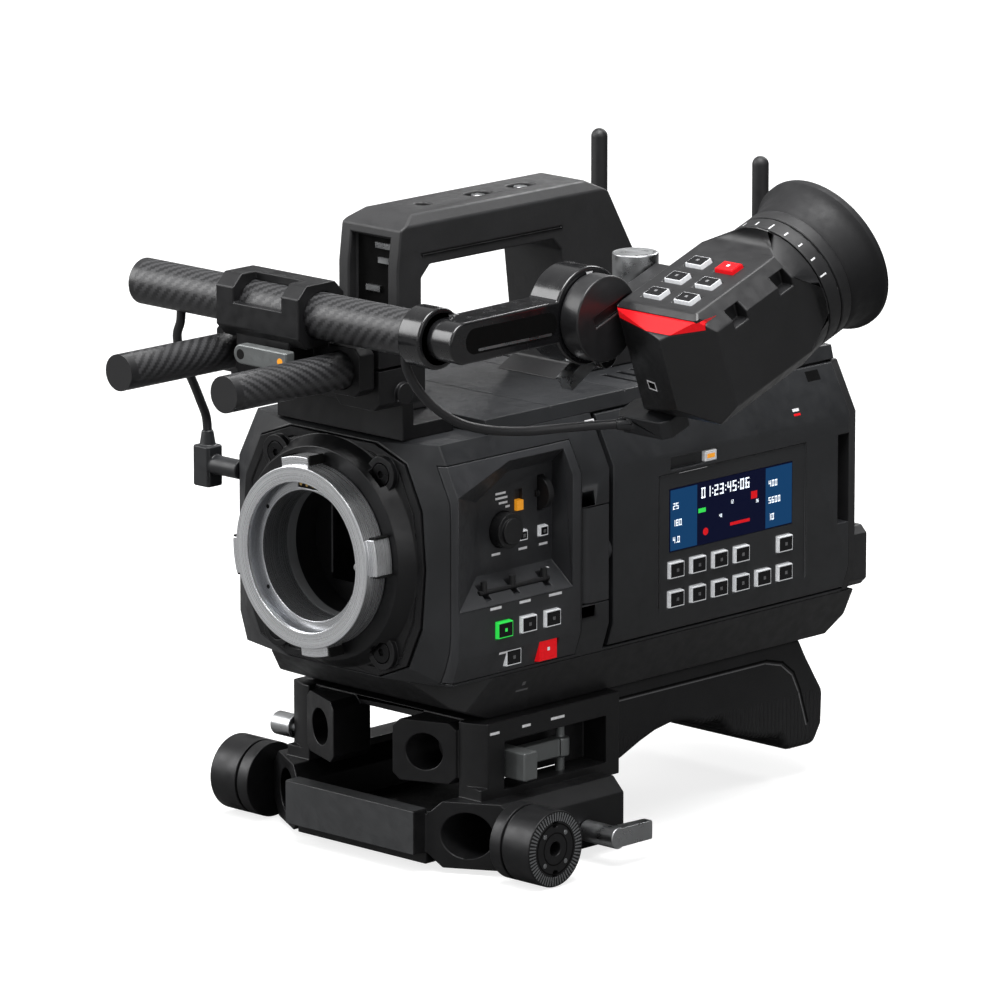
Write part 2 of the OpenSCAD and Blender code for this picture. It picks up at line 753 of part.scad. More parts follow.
module thumb_wheel() {
    color([0.1, 0.1, 0.1]) {
        rod_y(wheel_r, panel_flat_x + wheel_r / 2 - wheel_sink,
            [wheel_y - wheel_t / 2, wheel_y + wheel_t / 2], wheel_z);
        rod_y(axle_r, panel_flat_x + wheel_r / 2 - wheel_sink,
            [wheel_y - wheel_t / 2 - axle_stub, wheel_y + wheel_t / 2 + axle_stub], wheel_z);
    }
}

// Fold-out monitor
shaft_r = 5;
module hinge_pin() {
    color([0.6, 0.6, 0.62]) rod_z(pin_r, hinge_x, hinge_y,
        [hinge_low_z - gap - pin_reach + gap, hinge_high_z + gap + pin_reach - gap]);
}
module monitor_hinge() {
    color([0.13, 0.13, 0.14]) difference() {
        union() {
            rod_z(hinge_r, hinge_x, hinge_y, [hinge_low_z, hinge_high_z]);
            block([hinge_x - hinge_r, hinge_x + hinge_r], [hinge_y, hinge_back_y], [hinge_low_z, hinge_high_z]);
            rod_y(shaft_r, hinge_x, [hinge_back_y, door_front], (hinge_low_z + hinge_high_z) / 2);
        }
        rod_z(pin_r + run, hinge_x, hinge_y, [hinge_low_z - cut, hinge_high_z + cut]);
    }
}
module monitor_door() {
    low_x = skirt_x + (side_x - skirt_x) * (door_low_z + body_low) / (body_low - side_low);
    high_x = shoulder_x + (side_x - shoulder_x) * (body_top - door_high_z) / (body_top - side_top);
    color([0.14, 0.145, 0.155]) difference() {
        prism_y([[door_in_x, door_low_z], [low_x, door_low_z], [side_x, -side_low], [side_x, side_top],
            [high_x, door_high_z], [door_in_x, door_high_z]], [door_front, body_back]);
        block([side_x - inset_deep, side_x + cut], inset_y, inset_z);
        block([side_x - inset_deep - status_t, side_x + cut], [status_y, status_y + status_w],
            [-status_h / 2, status_h / 2]);
        block([door_in_x - cut, door_in_x + touch_t], [touch_y, touch_y + touch_w], [-touch_h / 2, touch_h / 2]);
        for (i = upper_key_shares)
            key_well(side_x - inset_deep, key_y0 + i * key_pitch, upper_key_z, key_w, key_h);
        for (i = lower_key_shares)
            key_well(side_x - inset_deep, key_y0 + i * key_pitch, lower_key_z, key_w, key_h);
        block([side_x - slider_deep, side_x + cut], slider_y, [slider_z - slider_h / 2, slider_z + slider_h / 2]);
        // Finger pull at the rear edge
        block([door_in_x + pull_deep, side_x + cut], [pull_front_y, body_back + cut], pull_z);
    }
}
module status_screen() {
    color([0.03, 0.1, 0.25]) block([side_x - inset_deep - status_t, side_x - inset_deep],
        [status_y + run, status_y + status_w - run], [-status_h / 2 + run, status_h / 2 - run]);
}
module touch_screen() {
    color([0.02, 0.02, 0.025]) block([door_in_x, door_in_x + touch_t],
        [touch_y + run, touch_y + touch_w - run], [-touch_h / 2 + run, touch_h / 2 - run]);
}
module door_keys_upper() {
    color([0.12, 0.12, 0.12]) for (i = upper_key_shares)
        key_x(side_x - inset_deep, key_y0 + i * key_pitch, upper_key_z, key_w, key_h);
}
module door_keys_lower() {
    color([0.12, 0.12, 0.12]) for (i = lower_key_shares)
        key_x(side_x - inset_deep, key_y0 + i * key_pitch, lower_key_z, key_w, key_h);
}
module door_slider() {
    color([0.8, 0.8, 0.8]) block([side_x - slider_deep + gap, side_x],
        [slider_y[1] - slider_w - gap, slider_y[1] - gap],
        [slider_z - slider_h / 2 + gap, slider_z + slider_h / 2 - gap]);
}

// Top handle, from the side
grip_low = handle_top - grip_t;
handle_foot = cover_z;
front_post = [34, 48];
rear_post_top = [130, 158];
rear_post_foot = [146, 196];
grip_front = 41;
handle_edge = 4;
foot_h = 5;
handle_screw_y = [98, 123];
handle_screw_r = 3.6;
handle_screw_deep = 4;
handle_slot = 3;
post_recess = [11, 5];
post_recess_z = [68, 127];
seam_w = 0.6;
seam_rise = 4;
thread_r = 3.18;
thread_deep = 9;
handle_thread_y = 66;
module top_handle() {
    half = handle_w / 2;
    color([0.14, 0.14, 0.15]) difference() {
        intersection() {
            prism_x([[front_post[0], handle_foot], [front_post[1] + foot_h, handle_foot],
                [front_post[1], handle_foot + foot_h * 2], [front_post[1], grip_low - foot_h],
                [front_post[1] + foot_h, grip_low], [rear_post_top[0] - foot_h, grip_low],
                [rear_post_top[0], grip_low - foot_h], [rear_post_foot[0] - foot_h * 2, handle_foot + foot_h],
                [rear_post_foot[0] - foot_h * 4, handle_foot], [rear_post_foot[1], handle_foot],
                [rear_post_foot[1], handle_foot + foot_h], [rear_post_top[1] + foot_h * 3, grip_low - foot_h * 2],
                [rear_post_top[1], handle_top - foot_h], [rear_post_top[1] - foot_h * 2, handle_top],
                [grip_front + foot_h, handle_top], [grip_front - foot_h, handle_top - foot_h],
                [front_post[0], grip_low]], [-half, half]);
            prism_y(mirrored([[half, 0], [half, handle_top - handle_edge], [half - handle_edge, handle_top]]),
                [0, body_back]);
        }
        for (y = handle_screw_y) hull() for (d = [-handle_slot, handle_slot])
            rod_z(handle_screw_r, 0, y + d, [handle_top - handle_screw_deep, handle_top + cut]);
        block([-post_recess[0], post_recess[0]], [front_post[0] - cut, front_post[0] + post_recess[1]],
            post_recess_z);
        both_sides() block([half - seam_w, half + cut], [front_post[1], rear_post_top[0]],
            [grip_low + seam_rise, grip_low + seam_rise + seam_w]);
        rod_z(thread_r, 0, handle_thread_y, [handle_top - thread_deep, handle_top + cut]);
    }
}

// Viewfinder rods and the clamp that holds them
rod_x0 = rod_gap / 2;
clamp_y = [-2.5, 24];
clamp_half = 12.5;
clamp_drop = 17;
clamp_rise = 11;
clamp_plate_x = 36;
clamp_plate_y = [17.5, cover_front - gap];
clamp_plate_t = 6;
clamp_base_y = 8;
clamp_cut = 3;
slit = 1;
clamp_knob_r = 4.5;
clamp_knob_t = 2;
rod_cap_t = 3;
module evf_rods() {
    color([0.2, 0.2, 0.2]) for (x = [-rod_x0, rod_x0]) rod_y(rod_d / 2, x, [-rod_reach, clamp_y[1]], rod_z);
}
module rod_clamp() {
    color([0.1, 0.1, 0.105]) difference() {
        union() {
            both_sides() {
                chamfered_y([rod_x0 - clamp_half, rod_x0 + clamp_half], clamp_y,
                    [rod_z - clamp_drop, rod_z + clamp_rise], clamp_cut);
                rod_x(clamp_knob_r, [rod_x0 + clamp_half, rod_x0 + clamp_half + clamp_knob_t],
                    (clamp_y[0] + clamp_y[1]) / 2, rod_z - clamp_rise);
            }
            block([-rod_x0, rod_x0], [clamp_y[0] + clamp_base_y, clamp_y[1]], [rod_z - clamp_drop, rod_z - gap]);
            block([-clamp_plate_x, clamp_plate_x], [clamp_plate_y[0], clamp_y[1]],
                [body_top, rod_z - clamp_drop]);
            chamfered_z([-clamp_plate_x, clamp_plate_x], clamp_plate_y,
                [body_top, body_top + clamp_plate_t], clamp_cut);
        }
        for (x = [-rod_x0, rod_x0]) rod_y(rod_d / 2 + run, x, [clamp_y[0] - cut, clamp_y[1] + cut], rod_z);
        both_sides() block([rod_x0, rod_x0 + clamp_half + cut], [clamp_y[0] - cut, clamp_y[1] + cut],
            [rod_z - slit / 2, rod_z + slit / 2]);
    }
}

// Sliding bridge with the cross tube's clamp
tube_y = -16;
tube_x = [-78, 90];
tube_clamp_x = 23.5;
tube_clamp_half = 13;
tube_clamp_cut = 5;
window_x = 13.5;
window_z = 2;
neck_x = 15;
neck_y = [-26, -4];
neck_z = 75;
bridge_y = [-12, -3.5];
bridge_half = 11;
bridge_rise = 10;
lever_pivot = [-4, 88];
lever_post_r = 2.5;
lever_len = 30;
lever_w = 8;
lever_t = 5;
module evf_bridge() {
    color([0.12, 0.12, 0.125]) difference() {
        union() {
            chamfered_x([-tube_clamp_x, tube_clamp_x], [tube_y - tube_clamp_half, tube_y + tube_clamp_half],
                [tube_z - tube_clamp_half, tube_z + tube_clamp_half], tube_clamp_cut);
            block([-neck_x, neck_x], neck_y, [neck_z, tube_z - tube_clamp_half + cut]);
            chamfered_y([-rod_x0 - bridge_half, rod_x0 + bridge_half], bridge_y,
                [rod_z - bridge_rise, rod_z + bridge_rise], clamp_cut);
        }
        rod_x(tube_d / 2 + run, [-tube_clamp_x - cut, tube_clamp_x + cut], tube_y, tube_z);
        block([-window_x, window_x], [tube_y - tube_clamp_half - cut, tube_y],
            [tube_z + window_z, tube_z + tube_clamp_half + cut]);
        for (x = [-rod_x0, rod_x0]) rod_y(rod_d / 2 + run, x, [bridge_y[0] - cut, bridge_y[1] + cut], rod_z);
        rod_y(lever_post_r + run, lever_pivot[0], [neck_y[0] - cut, neck_y[0] + lever_t], lever_pivot[1]);
    }
}
lever_gap = 0.5;
module tube_lever() {
    lever_back = tube_y - tube_clamp_half - lever_gap;
    color([0.42, 0.43, 0.45]) {
        rod_y(lever_post_r, lever_pivot[0], [lever_back - lever_t, neck_y[0] + lever_t - gap], lever_pivot[1]);
        rod_y(lever_w / 2, lever_pivot[0], [lever_back - lever_t, lever_back], lever_pivot[1]);
        block([lever_pivot[0], lever_pivot[0] + lever_len - lever_w / 2], [lever_back - lever_t, lever_back],
            [lever_pivot[1] - lever_w / 2, lever_pivot[1] + lever_w / 2]);
    }
}
exit_left_x = -57;
exit_right_x = 70;
exit_r = 3;
tube_cap_t = 3;
module cross_tube() {
    color([0.18, 0.18, 0.18]) difference() {
        rod_x(tube_d / 2, tube_x, tube_y, tube_z);
        rod_x(tube_d / 2 - tube_wall, [tube_x[0] + tube_cap_t, tube_x[1] - tube_cap_t], tube_y, tube_z);
        for (x = [exit_left_x, exit_right_x]) rod_z(exit_r, x, tube_y, [tube_z - tube_d, tube_z]);
    }
}

// Viewfinder cable
cable_d = 3.8;
cable_sides = 8;
cable_top = tube_z - tube_d / 2 + tube_wall;
left_route = [[-57, -16, 97], [-57.5, -16, 91], [-60.5, -15, 85.5], [-65, -10, 79], [-70, -2, 70], [-75, 8, 59],
    [-80, 17, 49], [-82.7, 22.4, 42], [-83, 23.5, 36]];
right_route = [[70, -16, 97], [70.5, -15.5, 91], [72, -12, 83], [75, -5, 74], [79, 6, 66], [83, 20, 61.5],
    [88, 35, 59.5], [94, 48, 59.5], [101, 58.5, 60], [108, 66, 60.5]];
ring_steps = 4;

module cable_core() {
    color([0.1, 0.1, 0.1]) rod_x(cable_d / 2, [exit_left_x - cable_d, exit_right_x + cable_d], tube_y,
        cable_top + cable_d / 2 + run);
}
function unit(v) = v / norm(v);
function spline(p, i, t) = let (a = p[max(i - 1, 0)], b = p[i], c = p[i + 1], d = p[min(i + 2, len(p) - 1)])
    0.5 * (2 * b + (c - a) * t + (2 * a - 5 * b + 4 * c - d) * t * t + (3 * b - a - 3 * c + d) * t * t * t);
function smooth(p) = concat([for (i = [0:len(p) - 2]) for (k = [0:ring_steps - 1]) spline(p, i, k / ring_steps)],
    [p[len(p) - 1]]);
function heading(q, i) = i == 0 ? unit(q[1] - q[0]) :
    i == len(q) - 1 ? unit(q[i] - q[i - 1]) : unit(q[i + 1] - q[i - 1]);
function ring(c, t, up, r) = let (a = unit(cross(t, up)), b = cross(a, t))
    [for (k = [0:cable_sides - 1]) c + r * (a * cos(k * 360 / cable_sides) + b * sin(k * 360 / cable_sides))];
// A tube swept along a route
module sweep(route, up) {
    q = smooth(route);
    n = len(q);
    s = cable_sides;
    points = [for (i = [0:n - 1]) each ring(q[i], heading(q, i), up, cable_d / 2)];
    sides = [for (i = [0:n - 2]) for (k = [0:s - 1]) each
        [[i * s + k, (i + 1) * s + k, i * s + (k + 1) % s],
        [(i + 1) * s + k, (i + 1) * s + (k + 1) % s, i * s + (k + 1) % s]]];
    caps = [[for (k = [0:s - 1]) k], [for (k = [s - 1:-1:0]) (n - 1) * s + k]];
    polyhedron(points = points, faces = concat(sides, caps));
}
module cable_left() { color([0.2, 0.2, 0.21]) sweep(left_route, [0, 1, 0]); }
module cable_right() { color([0.2, 0.2, 0.21]) sweep(right_route, [1, -1, 0]); }

left_plug_size = [10, 9, 17];
relief_r = [3.4, 2.4];
relief_len = 13;
neck_r = 4;
module left_plug() {
    e = left_route[len(left_route) - 1];
    relief_h = e[2] - (port_z + left_plug_size[2] * share(0.45));
    top = e[2] - relief_h;
    color([0.17, 0.17, 0.18]) {
        translate([e[0], e[1], top]) cylinder(r1 = relief_r[0], r2 = relief_r[1], h = relief_h);
        chamfered_z([e[0] - left_plug_size[0] / 2, e[0] + left_plug_size[0] / 2],
            [e[1] - left_plug_size[1] / 2, e[1] + left_plug_size[1] / 2], [top - left_plug_size[2], top],
            relief_r[1] / 2);
        rod_x(neck_r, [e[0], -side_x], e[1], port_z);
    }
}

// Arm from the cross tube to the viewfinder
arm_x = [88, 104];
pivot_y = 54.5;
pivot_z = 106;
arm_h = 17;
arm_drum_back = 90;
arm_disc_r = 20;
arm_socket_x = 78;
arm_socket_r = 12.5;
pivot_pin_r = 5;
pivot_pin_len = 6;
tongue_y = 101;
tongue_z = [100, 112];
knob_r = 9.4;
knob_h = 13;
knob_x = 94;
knob_y = 92;
knob_stem_r = 3;
arm_lever_y = 66;
arm_lever_z = 88;
arm_lever_x = [93, 99];
arm_boss_r = 5.5;
arm_hub_r = 3.5;
arm_lever_pin_r = 2;
arm_lever_len = 20;
arm_lever_dip = 30;
arm_bar_half = 3;
module evf_arm() {
    color([0.08, 0.08, 0.085]) difference() {
        union() {
            rod_x(arm_socket_r, [arm_socket_x, arm_drum_back], tube_y, tube_z);
            rod_x(arm_h / 2, arm_x, tube_y, tube_z);
            prism_x([[tube_y, tube_z - arm_h / 2], [pivot_y, pivot_z - arm_h / 2],
                [pivot_y, pivot_z + arm_h / 2], [tube_y, tube_z + arm_h / 2]], arm_x);
            rod_x(arm_disc_r, arm_x, pivot_y, pivot_z);
            block(arm_x, [pivot_y, tongue_y], tongue_z);
            rod_x(arm_boss_r, arm_x, arm_lever_y, arm_lever_z);
            block(arm_x, [arm_lever_y - arm_boss_r, arm_lever_y + arm_boss_r],
                [arm_lever_z, arm_lever_z + arm_boss_r]);
            rod_x(pivot_pin_r, [arm_x[1], arm_x[1] + pivot_pin_len], pivot_y, pivot_z);
        }
        rod_x(tube_d / 2 + run, [arm_socket_x - cut, tube_x[1] + run], tube_y, tube_z);
        rod_z(knob_stem_r + run, knob_x, knob_y, [tongue_z[0] + cut, tongue_z[1] + cut]);
        // Fork of the arm lever
        rod_x(arm_lever_pin_r + run, [arm_x[0] - cut, arm_x[1] + cut], arm_lever_y, arm_lever_z);
        block([arm_lever_x[0] - gap, arm_lever_x[1] + gap],
            [arm_lever_y - arm_lever_len, arm_lever_y + arm_boss_r + cut],
            [arm_lever_z - arm_lever_len, arm_lever_z + arm_hub_r + gap]);
    }
}
module arm_lever() {
    color([0.7, 0.71, 0.73]) {
        rod_x(arm_lever_pin_r, [arm_x[0] + gap, arm_x[1] - gap], arm_lever_y, arm_lever_z);
        rod_x(arm_hub_r, arm_lever_x, arm_lever_y, arm_lever_z);
        translate([0, arm_lever_y, arm_lever_z]) rotate([arm_lever_dip, 0, 0])
            block(arm_lever_x, [-arm_lever_len, 0], [-arm_bar_half, arm_bar_half]);
    }
}
module top_knob() {
    color([0.6, 0.61, 0.63]) {
        rod_z(knob_r, knob_x, knob_y, [tongue_z[1] + gap, tongue_z[1] + gap + knob_h]);
        rod_z(knob_stem_r, knob_x, knob_y, [tongue_z[0] + cut + gap, tongue_z[1] + gap]);
    }
}

// Viewfinder, drawn level with its tilt axis at the origin, then tilted and moved
evf_cx = 140;
evf_x = [evf_cx - evf_w / 2, evf_cx + evf_w / 2];
evf_rise = 6;
evf_z = [evf_rise - evf_h, evf_rise];
evf_axis_z = (evf_z[0] + evf_z[1]) / 2;
evf_front = -5;
evf_bevel = 8;
evf_left_bevel = 4;
evf_peak = 32;
evf_slant = 8;
evf_nose_len = 13;
evf_top_slope = 12;
evf_taper = 12;
evf_bottom_slope = 10;
pivot_disc_r = 17.5;
rail_back_y = 42;
rail_low_z = -12;
rail_high_z = 2;
barrel_inner = 22;
barrel_outer = 26;
diopter_len = 14;
eyecup_len = 18;
eyecup_seat = 8;
eyecup_wall = 2.5;
lens_t = 4;
lens_back = 12;
evf_key_in = [15.5, 32];
evf_key_x = [evf_x[0] + evf_key_in[0], evf_x[0] + evf_key_in[1]];
evf_key_y = [15, 28, 41];
evf_record_w = 10;
tally_t = 1.4;
tally_h = 4;
side_port_y = [22, 50];
side_port = [8, 7, 4];
plug_x = [105, 133];
plug_y = [-2, 14];
plug_t = 8;

module evf_place() { translate([0, pivot_y, pivot_z]) rotate([evf_tilt, 0, 0]) children(); }
module evf_ring(r, y) { rod_y(r, evf_cx, y, evf_axis_z); }
module key_z(x, y, z, w, h) {
    chamfered_z([x - w / 2, x + w / 2], [y - h / 2, y + h / 2], [z - key_depth, z + key_rise], key_gap * 4);
}
module key_well_z(x, y, z, w, h) {
    block([x - w / 2 - key_gap, x + w / 2 + key_gap], [y - h / 2 - key_gap, y + h / 2 + key_gap],
        [z - key_depth - key_room, z + cut]);
}
module evf_section(y) {
    prism_y([[evf_x[0] + evf_left_bevel, evf_z[0]], [evf_x[1] - evf_bevel, evf_z[0]],
        [evf_x[1], evf_z[0] + evf_bevel], [evf_x[1], evf_z[1] - evf_bevel], [evf_x[1] - evf_bevel, evf_z[1]],
        [evf_x[0] + evf_left_bevel, evf_z[1]], [evf_x[0], evf_z[1] - evf_left_bevel],
        [evf_x[0], evf_z[0] + evf_left_bevel]], y);
}
module evf_hull_shape(grow) {
    box_back = evf_len - evf_taper;
    intersection() {
        evf_section([evf_front - grow, box_back]);
        prism_z([[evf_x[0] + evf_left_bevel, evf_front + evf_slant - grow], [evf_x[0] + evf_peak, evf_front - grow],
            [evf_x[1] + grow, evf_front + evf_nose_len], [evf_x[1] + grow, box_back], [evf_x[0], box_back],
            [evf_x[0], evf_front + evf_slant + evf_left_bevel]], [evf_z[0] - cut, evf_z[1] + cut]);
        prism_x([[evf_front - grow, evf_z[0] + evf_bottom_slope], [evf_front + evf_bottom_slope, evf_z[0]],
            [box_back, evf_z[0]], [box_back, evf_z[1]], [evf_front + evf_top_slope, evf_z[1]],
            [evf_front - grow, evf_z[1] - evf_bevel]], [evf_x[0] - cut, evf_x[1] + cut]);
    }
}
module tally_region(grow) {
    z = evf_z[1] - evf_bevel * share(0.8);
    block([evf_x[0] - cut, evf_x[1] - evf_left_bevel], [evf_front - cut, evf_front + evf_slant + evf_top_slope],
        [z - grow, z + tally_h + grow]);
}
module evf_shape_inner() {
    translate([0, tally_t, 0]) evf_hull_shape(0);
}
module evf_body() {
    box_back = evf_len - evf_taper;
    color([0.09, 0.09, 0.095]) evf_place() difference() {
        union() {
            evf_hull_shape(0);
            hull() {
                evf_section([box_back, box_back + slice]);
                rod_y(diopter_d / 2, evf_cx, [evf_len, evf_len + slice], evf_axis_z, $fn = 32);
            }
            evf_ring(barrel_outer, [evf_len, evf_len + diopter_len + eyecup_seat]);
            rod_x(pivot_disc_r, [arm_x[1] + gap, evf_x[0]], 0, 0);
            block([arm_x[1] + gap, evf_x[0]], [0, rail_back_y], [rail_low_z, rail_high_z]);
        }
        evf_ring(barrel_inner, [evf_len - lens_back, evf_len + diopter_len + eyecup_seat + cut]);
        rod_x(pivot_pin_r + run, [arm_x[0], arm_x[1] + pivot_pin_len + gap], 0, 0);
        difference() {
            tally_region(run);
            evf_shape_inner();
        }
        for (x = evf_key_x) for (y = evf_key_y) key_well_z(x, y, evf_z[1], evf_record_w, key_h);
        for (y = side_port_y) block([evf_x[1] - side_port[2] - cut, evf_x[1] + cut],
            [y - side_port[0] / 2, y + side_port[0] / 2],
            [evf_z[1] - evf_bevel - side_port[1] / 2, evf_z[1] - evf_bevel + side_port[1] / 2]);
    }
}
module evf_tally() {
    color([0.9, 0.05, 0.05]) evf_place() difference() {
        intersection() {
            evf_hull_shape(0);
            tally_region(-run);
        }
        translate([0, -run, 0]) evf_shape_inner();
    }
}
module evf_keys() {
    color([0.12, 0.12, 0.12]) evf_place() for (i = [0:1]) for (k = [0:2])
        if (i + k < 3) key_z(evf_key_x[i], evf_key_y[k], evf_z[1], key_w, key_h);
}
module evf_record_key() {
    color([0.85, 0.08, 0.1]) evf_place()
        key_z(evf_key_x[1], evf_key_y[2], evf_z[1], evf_record_w, key_h);
}
diopter_groove = 1;
module diopter_ring() {
    y = [evf_len + slice + gap, evf_len + diopter_len];
    color([0.1, 0.1, 0.1]) evf_place() difference() {
        evf_ring(diopter_d / 2, y);
        evf_ring(barrel_outer + run, [y[0] - cut, y[1] + cut]);
        difference() {
            evf_ring(diopter_d / 2 + cut, [y[0] + diopter_len / 2, y[0] + diopter_len / 2 + diopter_groove]);
            evf_ring(diopter_d / 2 - diopter_groove, [y[0], y[1]]);
        }
    }
}
module eyecup() {
    y = evf_len + diopter_len + gap;
    r = barrel_outer + run;
    w = eyecup_wall;
    rim = eyecup_d / 2;
    color([0.06, 0.06, 0.06]) evf_place() translate([evf_cx, y, evf_axis_z]) rotate([-90, 0, 0])
        rotate_extrude() polygon([[r, 0], [diopter_d / 2 - w / 2, 0], [diopter_d / 2, w],
            [diopter_d / 2, eyecup_len / 4],
            [rim - w, eyecup_len * share(0.7)], [rim, eyecup_len - w], [rim, eyecup_len], [rim - w, eyecup_len],
            [rim - w * 2, eyecup_len - w], [r + w / 2, eyecup_seat + w], [r, eyecup_seat]]);
}
module eyepiece_lens() {
    color([0.3, 0.4, 0.5]) evf_place()
        evf_ring(barrel_inner - run, [evf_len + diopter_len / 2, evf_len + diopter_len / 2 + lens_t]);
}
module evf_plug() {
    last = right_route[len(right_route) - 1];
    h = heading(smooth(right_route), ring_steps * (len(right_route) - 1));
    color([0.17, 0.17, 0.18]) {
        evf_place() chamfered_z(plug_x, plug_y, [evf_z[0] - plug_t, evf_z[0]], wall);
        translate(last) rotate([0, acos(h[2]), atan2(h[1], h[0])])
            cylinder(r1 = relief_r[1], r2 = relief_r[0], h = relief_len);
    }
}

// Antennas fold about a pin between two ears
antenna_inset = 4.5;
antenna_x = cover_x - antenna_inset;
antenna_back_gap = 40;
antenna_y = cover_back - antenna_back_gap;
antenna_rise = 6;
ear_t2 = 1.6;
tongue_half = 2;
antenna_pin_r = 1.2;
antenna_r = antenna_d / 2;
antenna_axis_z = cover_z + antenna_rise;
module antenna(x) {
    color([0.08, 0.08, 0.08]) {
        rod_z(antenna_r, x, antenna_y, [antenna_axis_z + antenna_r + gap, antenna_top - antenna_r]);
        translate([x, antenna_y, antenna_top - antenna_r]) sphere(r = antenna_r);
        block([x - tongue_half, x + tongue_half], [antenna_y - antenna_r + run, antenna_y + antenna_r - run],
            [antenna_axis_z, antenna_axis_z + antenna_r + gap]);
        rod_x(antenna_r - run, [x - tongue_half, x + tongue_half], antenna_y, antenna_axis_z);
        rod_x(antenna_pin_r, [x - tongue_half - ear_t2, x + tongue_half + ear_t2], antenna_y, antenna_axis_z);
    }
}
module antenna_ears(x) {
    for (s = [-1, 1]) let (a = x + s * (tongue_half + gap / 2), b = x + s * (tongue_half + ear_t2)) difference() {
        union() {
            block([min(a, b), max(a, b)], [antenna_y - antenna_r, antenna_y + antenna_r],
                [cover_z, antenna_axis_z]);
            rod_x(antenna_r, [min(a, b), max(a, b)], antenna_y, antenna_axis_z);
        }
        rod_x(antenna_pin_r + run, [min(a, b) - cut, max(a, b) + cut], antenna_y, antenna_axis_z);
    }
}
module antenna_left() { antenna(-antenna_x); }
module antenna_right() { antenna(antenna_x); }

// Base under the housing
base_top_t = 4;
base_top_y = [46, 124];
base_top_x = 46;
boss_half = 13;
boss_y = [30, 52];
plate_in_x = 43;
plate_out_x = 56;
side_plate_y = [42, 124];
side_plate_low = -104;
window_y = [56, 116];
window_low_z = -98;
window_high_z = -78;
low_block_inset = 15;
rosette_t = 22;
low_block_x = [heavy_rod_gap / 2 - low_block_inset, rosette_span / 2 - rosette_t];
low_block_y = [29, 112];
low_block_z = [-129, -101];
low_block_cut = 6;
floor_z = [-128, -119];
bar_y = [22, 30];
bar_z = [-123, -104.5];
lock_x = [-5, 43];
lock_y = [68, 120];
lock_low_z = -98;
sweep_angle = 22;
low_sweep_angle = 30;
tripod_r = 4.76;
tripod_y = 62;
lever_pin_r = 2;
lever_pin_x = (plate_in_x + plate_out_x) / 2;
lever_pin_y = 95;
lever_pin_reach = 4;
clamp_shaft_r = 3;
clamp_shaft_y = 89;
clamp_shaft_z = -119;
clamp_shaft_in = 8;
knob_shaft_r = 2.5;
lock_knob_y = 48;
lock_knob_z = -90;
module base_frame() {
    color([0.13, 0.13, 0.14]) difference() {
        union() {
            block([-base_top_x, base_top_x], base_top_y, [tray_z - base_top_t, tray_z]);
            both_sides() {
                chamfered_y([rod_gap / 2 - boss_half, plate_in_x], boss_y,
                    [-light_rod_drop - boss_half, -light_rod_drop + boss_half], clamp_cut);
                block([plate_in_x, plate_out_x], side_plate_y, [side_plate_low, tray_z]);
                chamfered_y(low_block_x, low_block_y, low_block_z, low_block_cut);
            }
            block([-low_block_x[0], low_block_x[0]], low_block_y, floor_z);
            block([-low_block_x[0], low_block_x[0]], bar_y, bar_z);
            block(lock_x, lock_y, [lock_low_z, tray_z - base_top_t]);
        }
        both_sides() {
            rod_y(rod_d / 2 + run, rod_gap / 2, [0, body_back], -light_rod_drop);
            rod_y(heavy_rod_d / 2 + run, heavy_rod_gap / 2, [0, body_back], -heavy_rod_drop);
            block([plate_in_x - run, plate_out_x + cut], window_y, [window_low_z, window_high_z]);
            // Swept front faces
            translate([rod_gap / 2 - boss_half, boss_y[0], 0]) rotate([0, 0, sweep_angle])
                block([-cut, side_x * 2], [-body_low, 0], [-light_rod_drop - boss_half, tray_z + cut]);
            translate([low_block_x[0], low_block_y[0], 0]) rotate([0, 0, low_sweep_angle])
                block([0, side_x * 2], [-body_low, 0], [low_block_z[0] - cut, low_block_z[1]]);
        }
        rod_z(tripod_r, 0, tripod_y, [floor_z[0] - cut, floor_z[1] + cut]);
        rod_z(lever_pin_r + run, lever_pin_x, lever_pin_y,
            [window_low_z - lever_pin_reach, window_high_z + lever_pin_reach]);
        rod_x(clamp_shaft_r + run, [low_block_x[1] - clamp_shaft_in, low_block_x[1] + cut],
            clamp_shaft_y, clamp_shaft_z);
        rod_x(knob_shaft_r + run, [-plate_out_x - cut, -plate_in_x], lock_knob_y, lock_knob_z);
    }
}
rosette_hole_r = 3;
rosette_y = 48;
rosette_screw_r = 1.6;
rosette_screw_at = 10.5;
rosette_groove = 1.2;
module rosettes() {
    color([0.1, 0.1, 0.1]) both_sides() difference() {
        rod_x(rosette_d / 2, [low_block_x[1], rosette_span / 2], rosette_y, -heavy_rod_drop);
        rod_x(rosette_hole_r, [rosette_span / 2 - low_block_cut * 2, rosette_span / 2 + cut],
            rosette_y, -heavy_rod_drop);
        for (s = [-1, 1]) rod_x(rosette_screw_r, [rosette_span / 2 - wall, rosette_span / 2 + cut],
            rosette_y, -heavy_rod_drop + s * rosette_screw_at);
        difference() {
            rod_x(rosette_d / 2 + cut,
                [low_block_x[1] + low_block_cut, low_block_x[1] + low_block_cut + rosette_groove],
                rosette_y, -heavy_rod_drop);
            rod_x(rosette_d / 2 - rosette_groove, [low_block_x[1], rosette_span / 2], rosette_y, -heavy_rod_drop);
        }
    }
}
pad_back_gap = 2.5;
pad_y = [side_plate_y[1] + gap, tray_back - pad_back_gap];
pad_foot_drop = 3;
pad_z = [-heavy_rod_drop - pad_foot_drop, tray_z];
pad_shares = [[0, 1], [0.886, 1], [0.925, 0.8], [1, 0.469], [0.996, 0.173], [0.96, 0], [0.835, 0], [0.804, 0.137],
    [0.7, 0.18], [0.581, 0.282], [0.535, 0.424], [0.459, 0.433], [0.4, 0.49], [0.33, 0.518], [0.25, 0.48],
    [0.18, 0.414], [0.1, 0.32], [0, 0.216]];
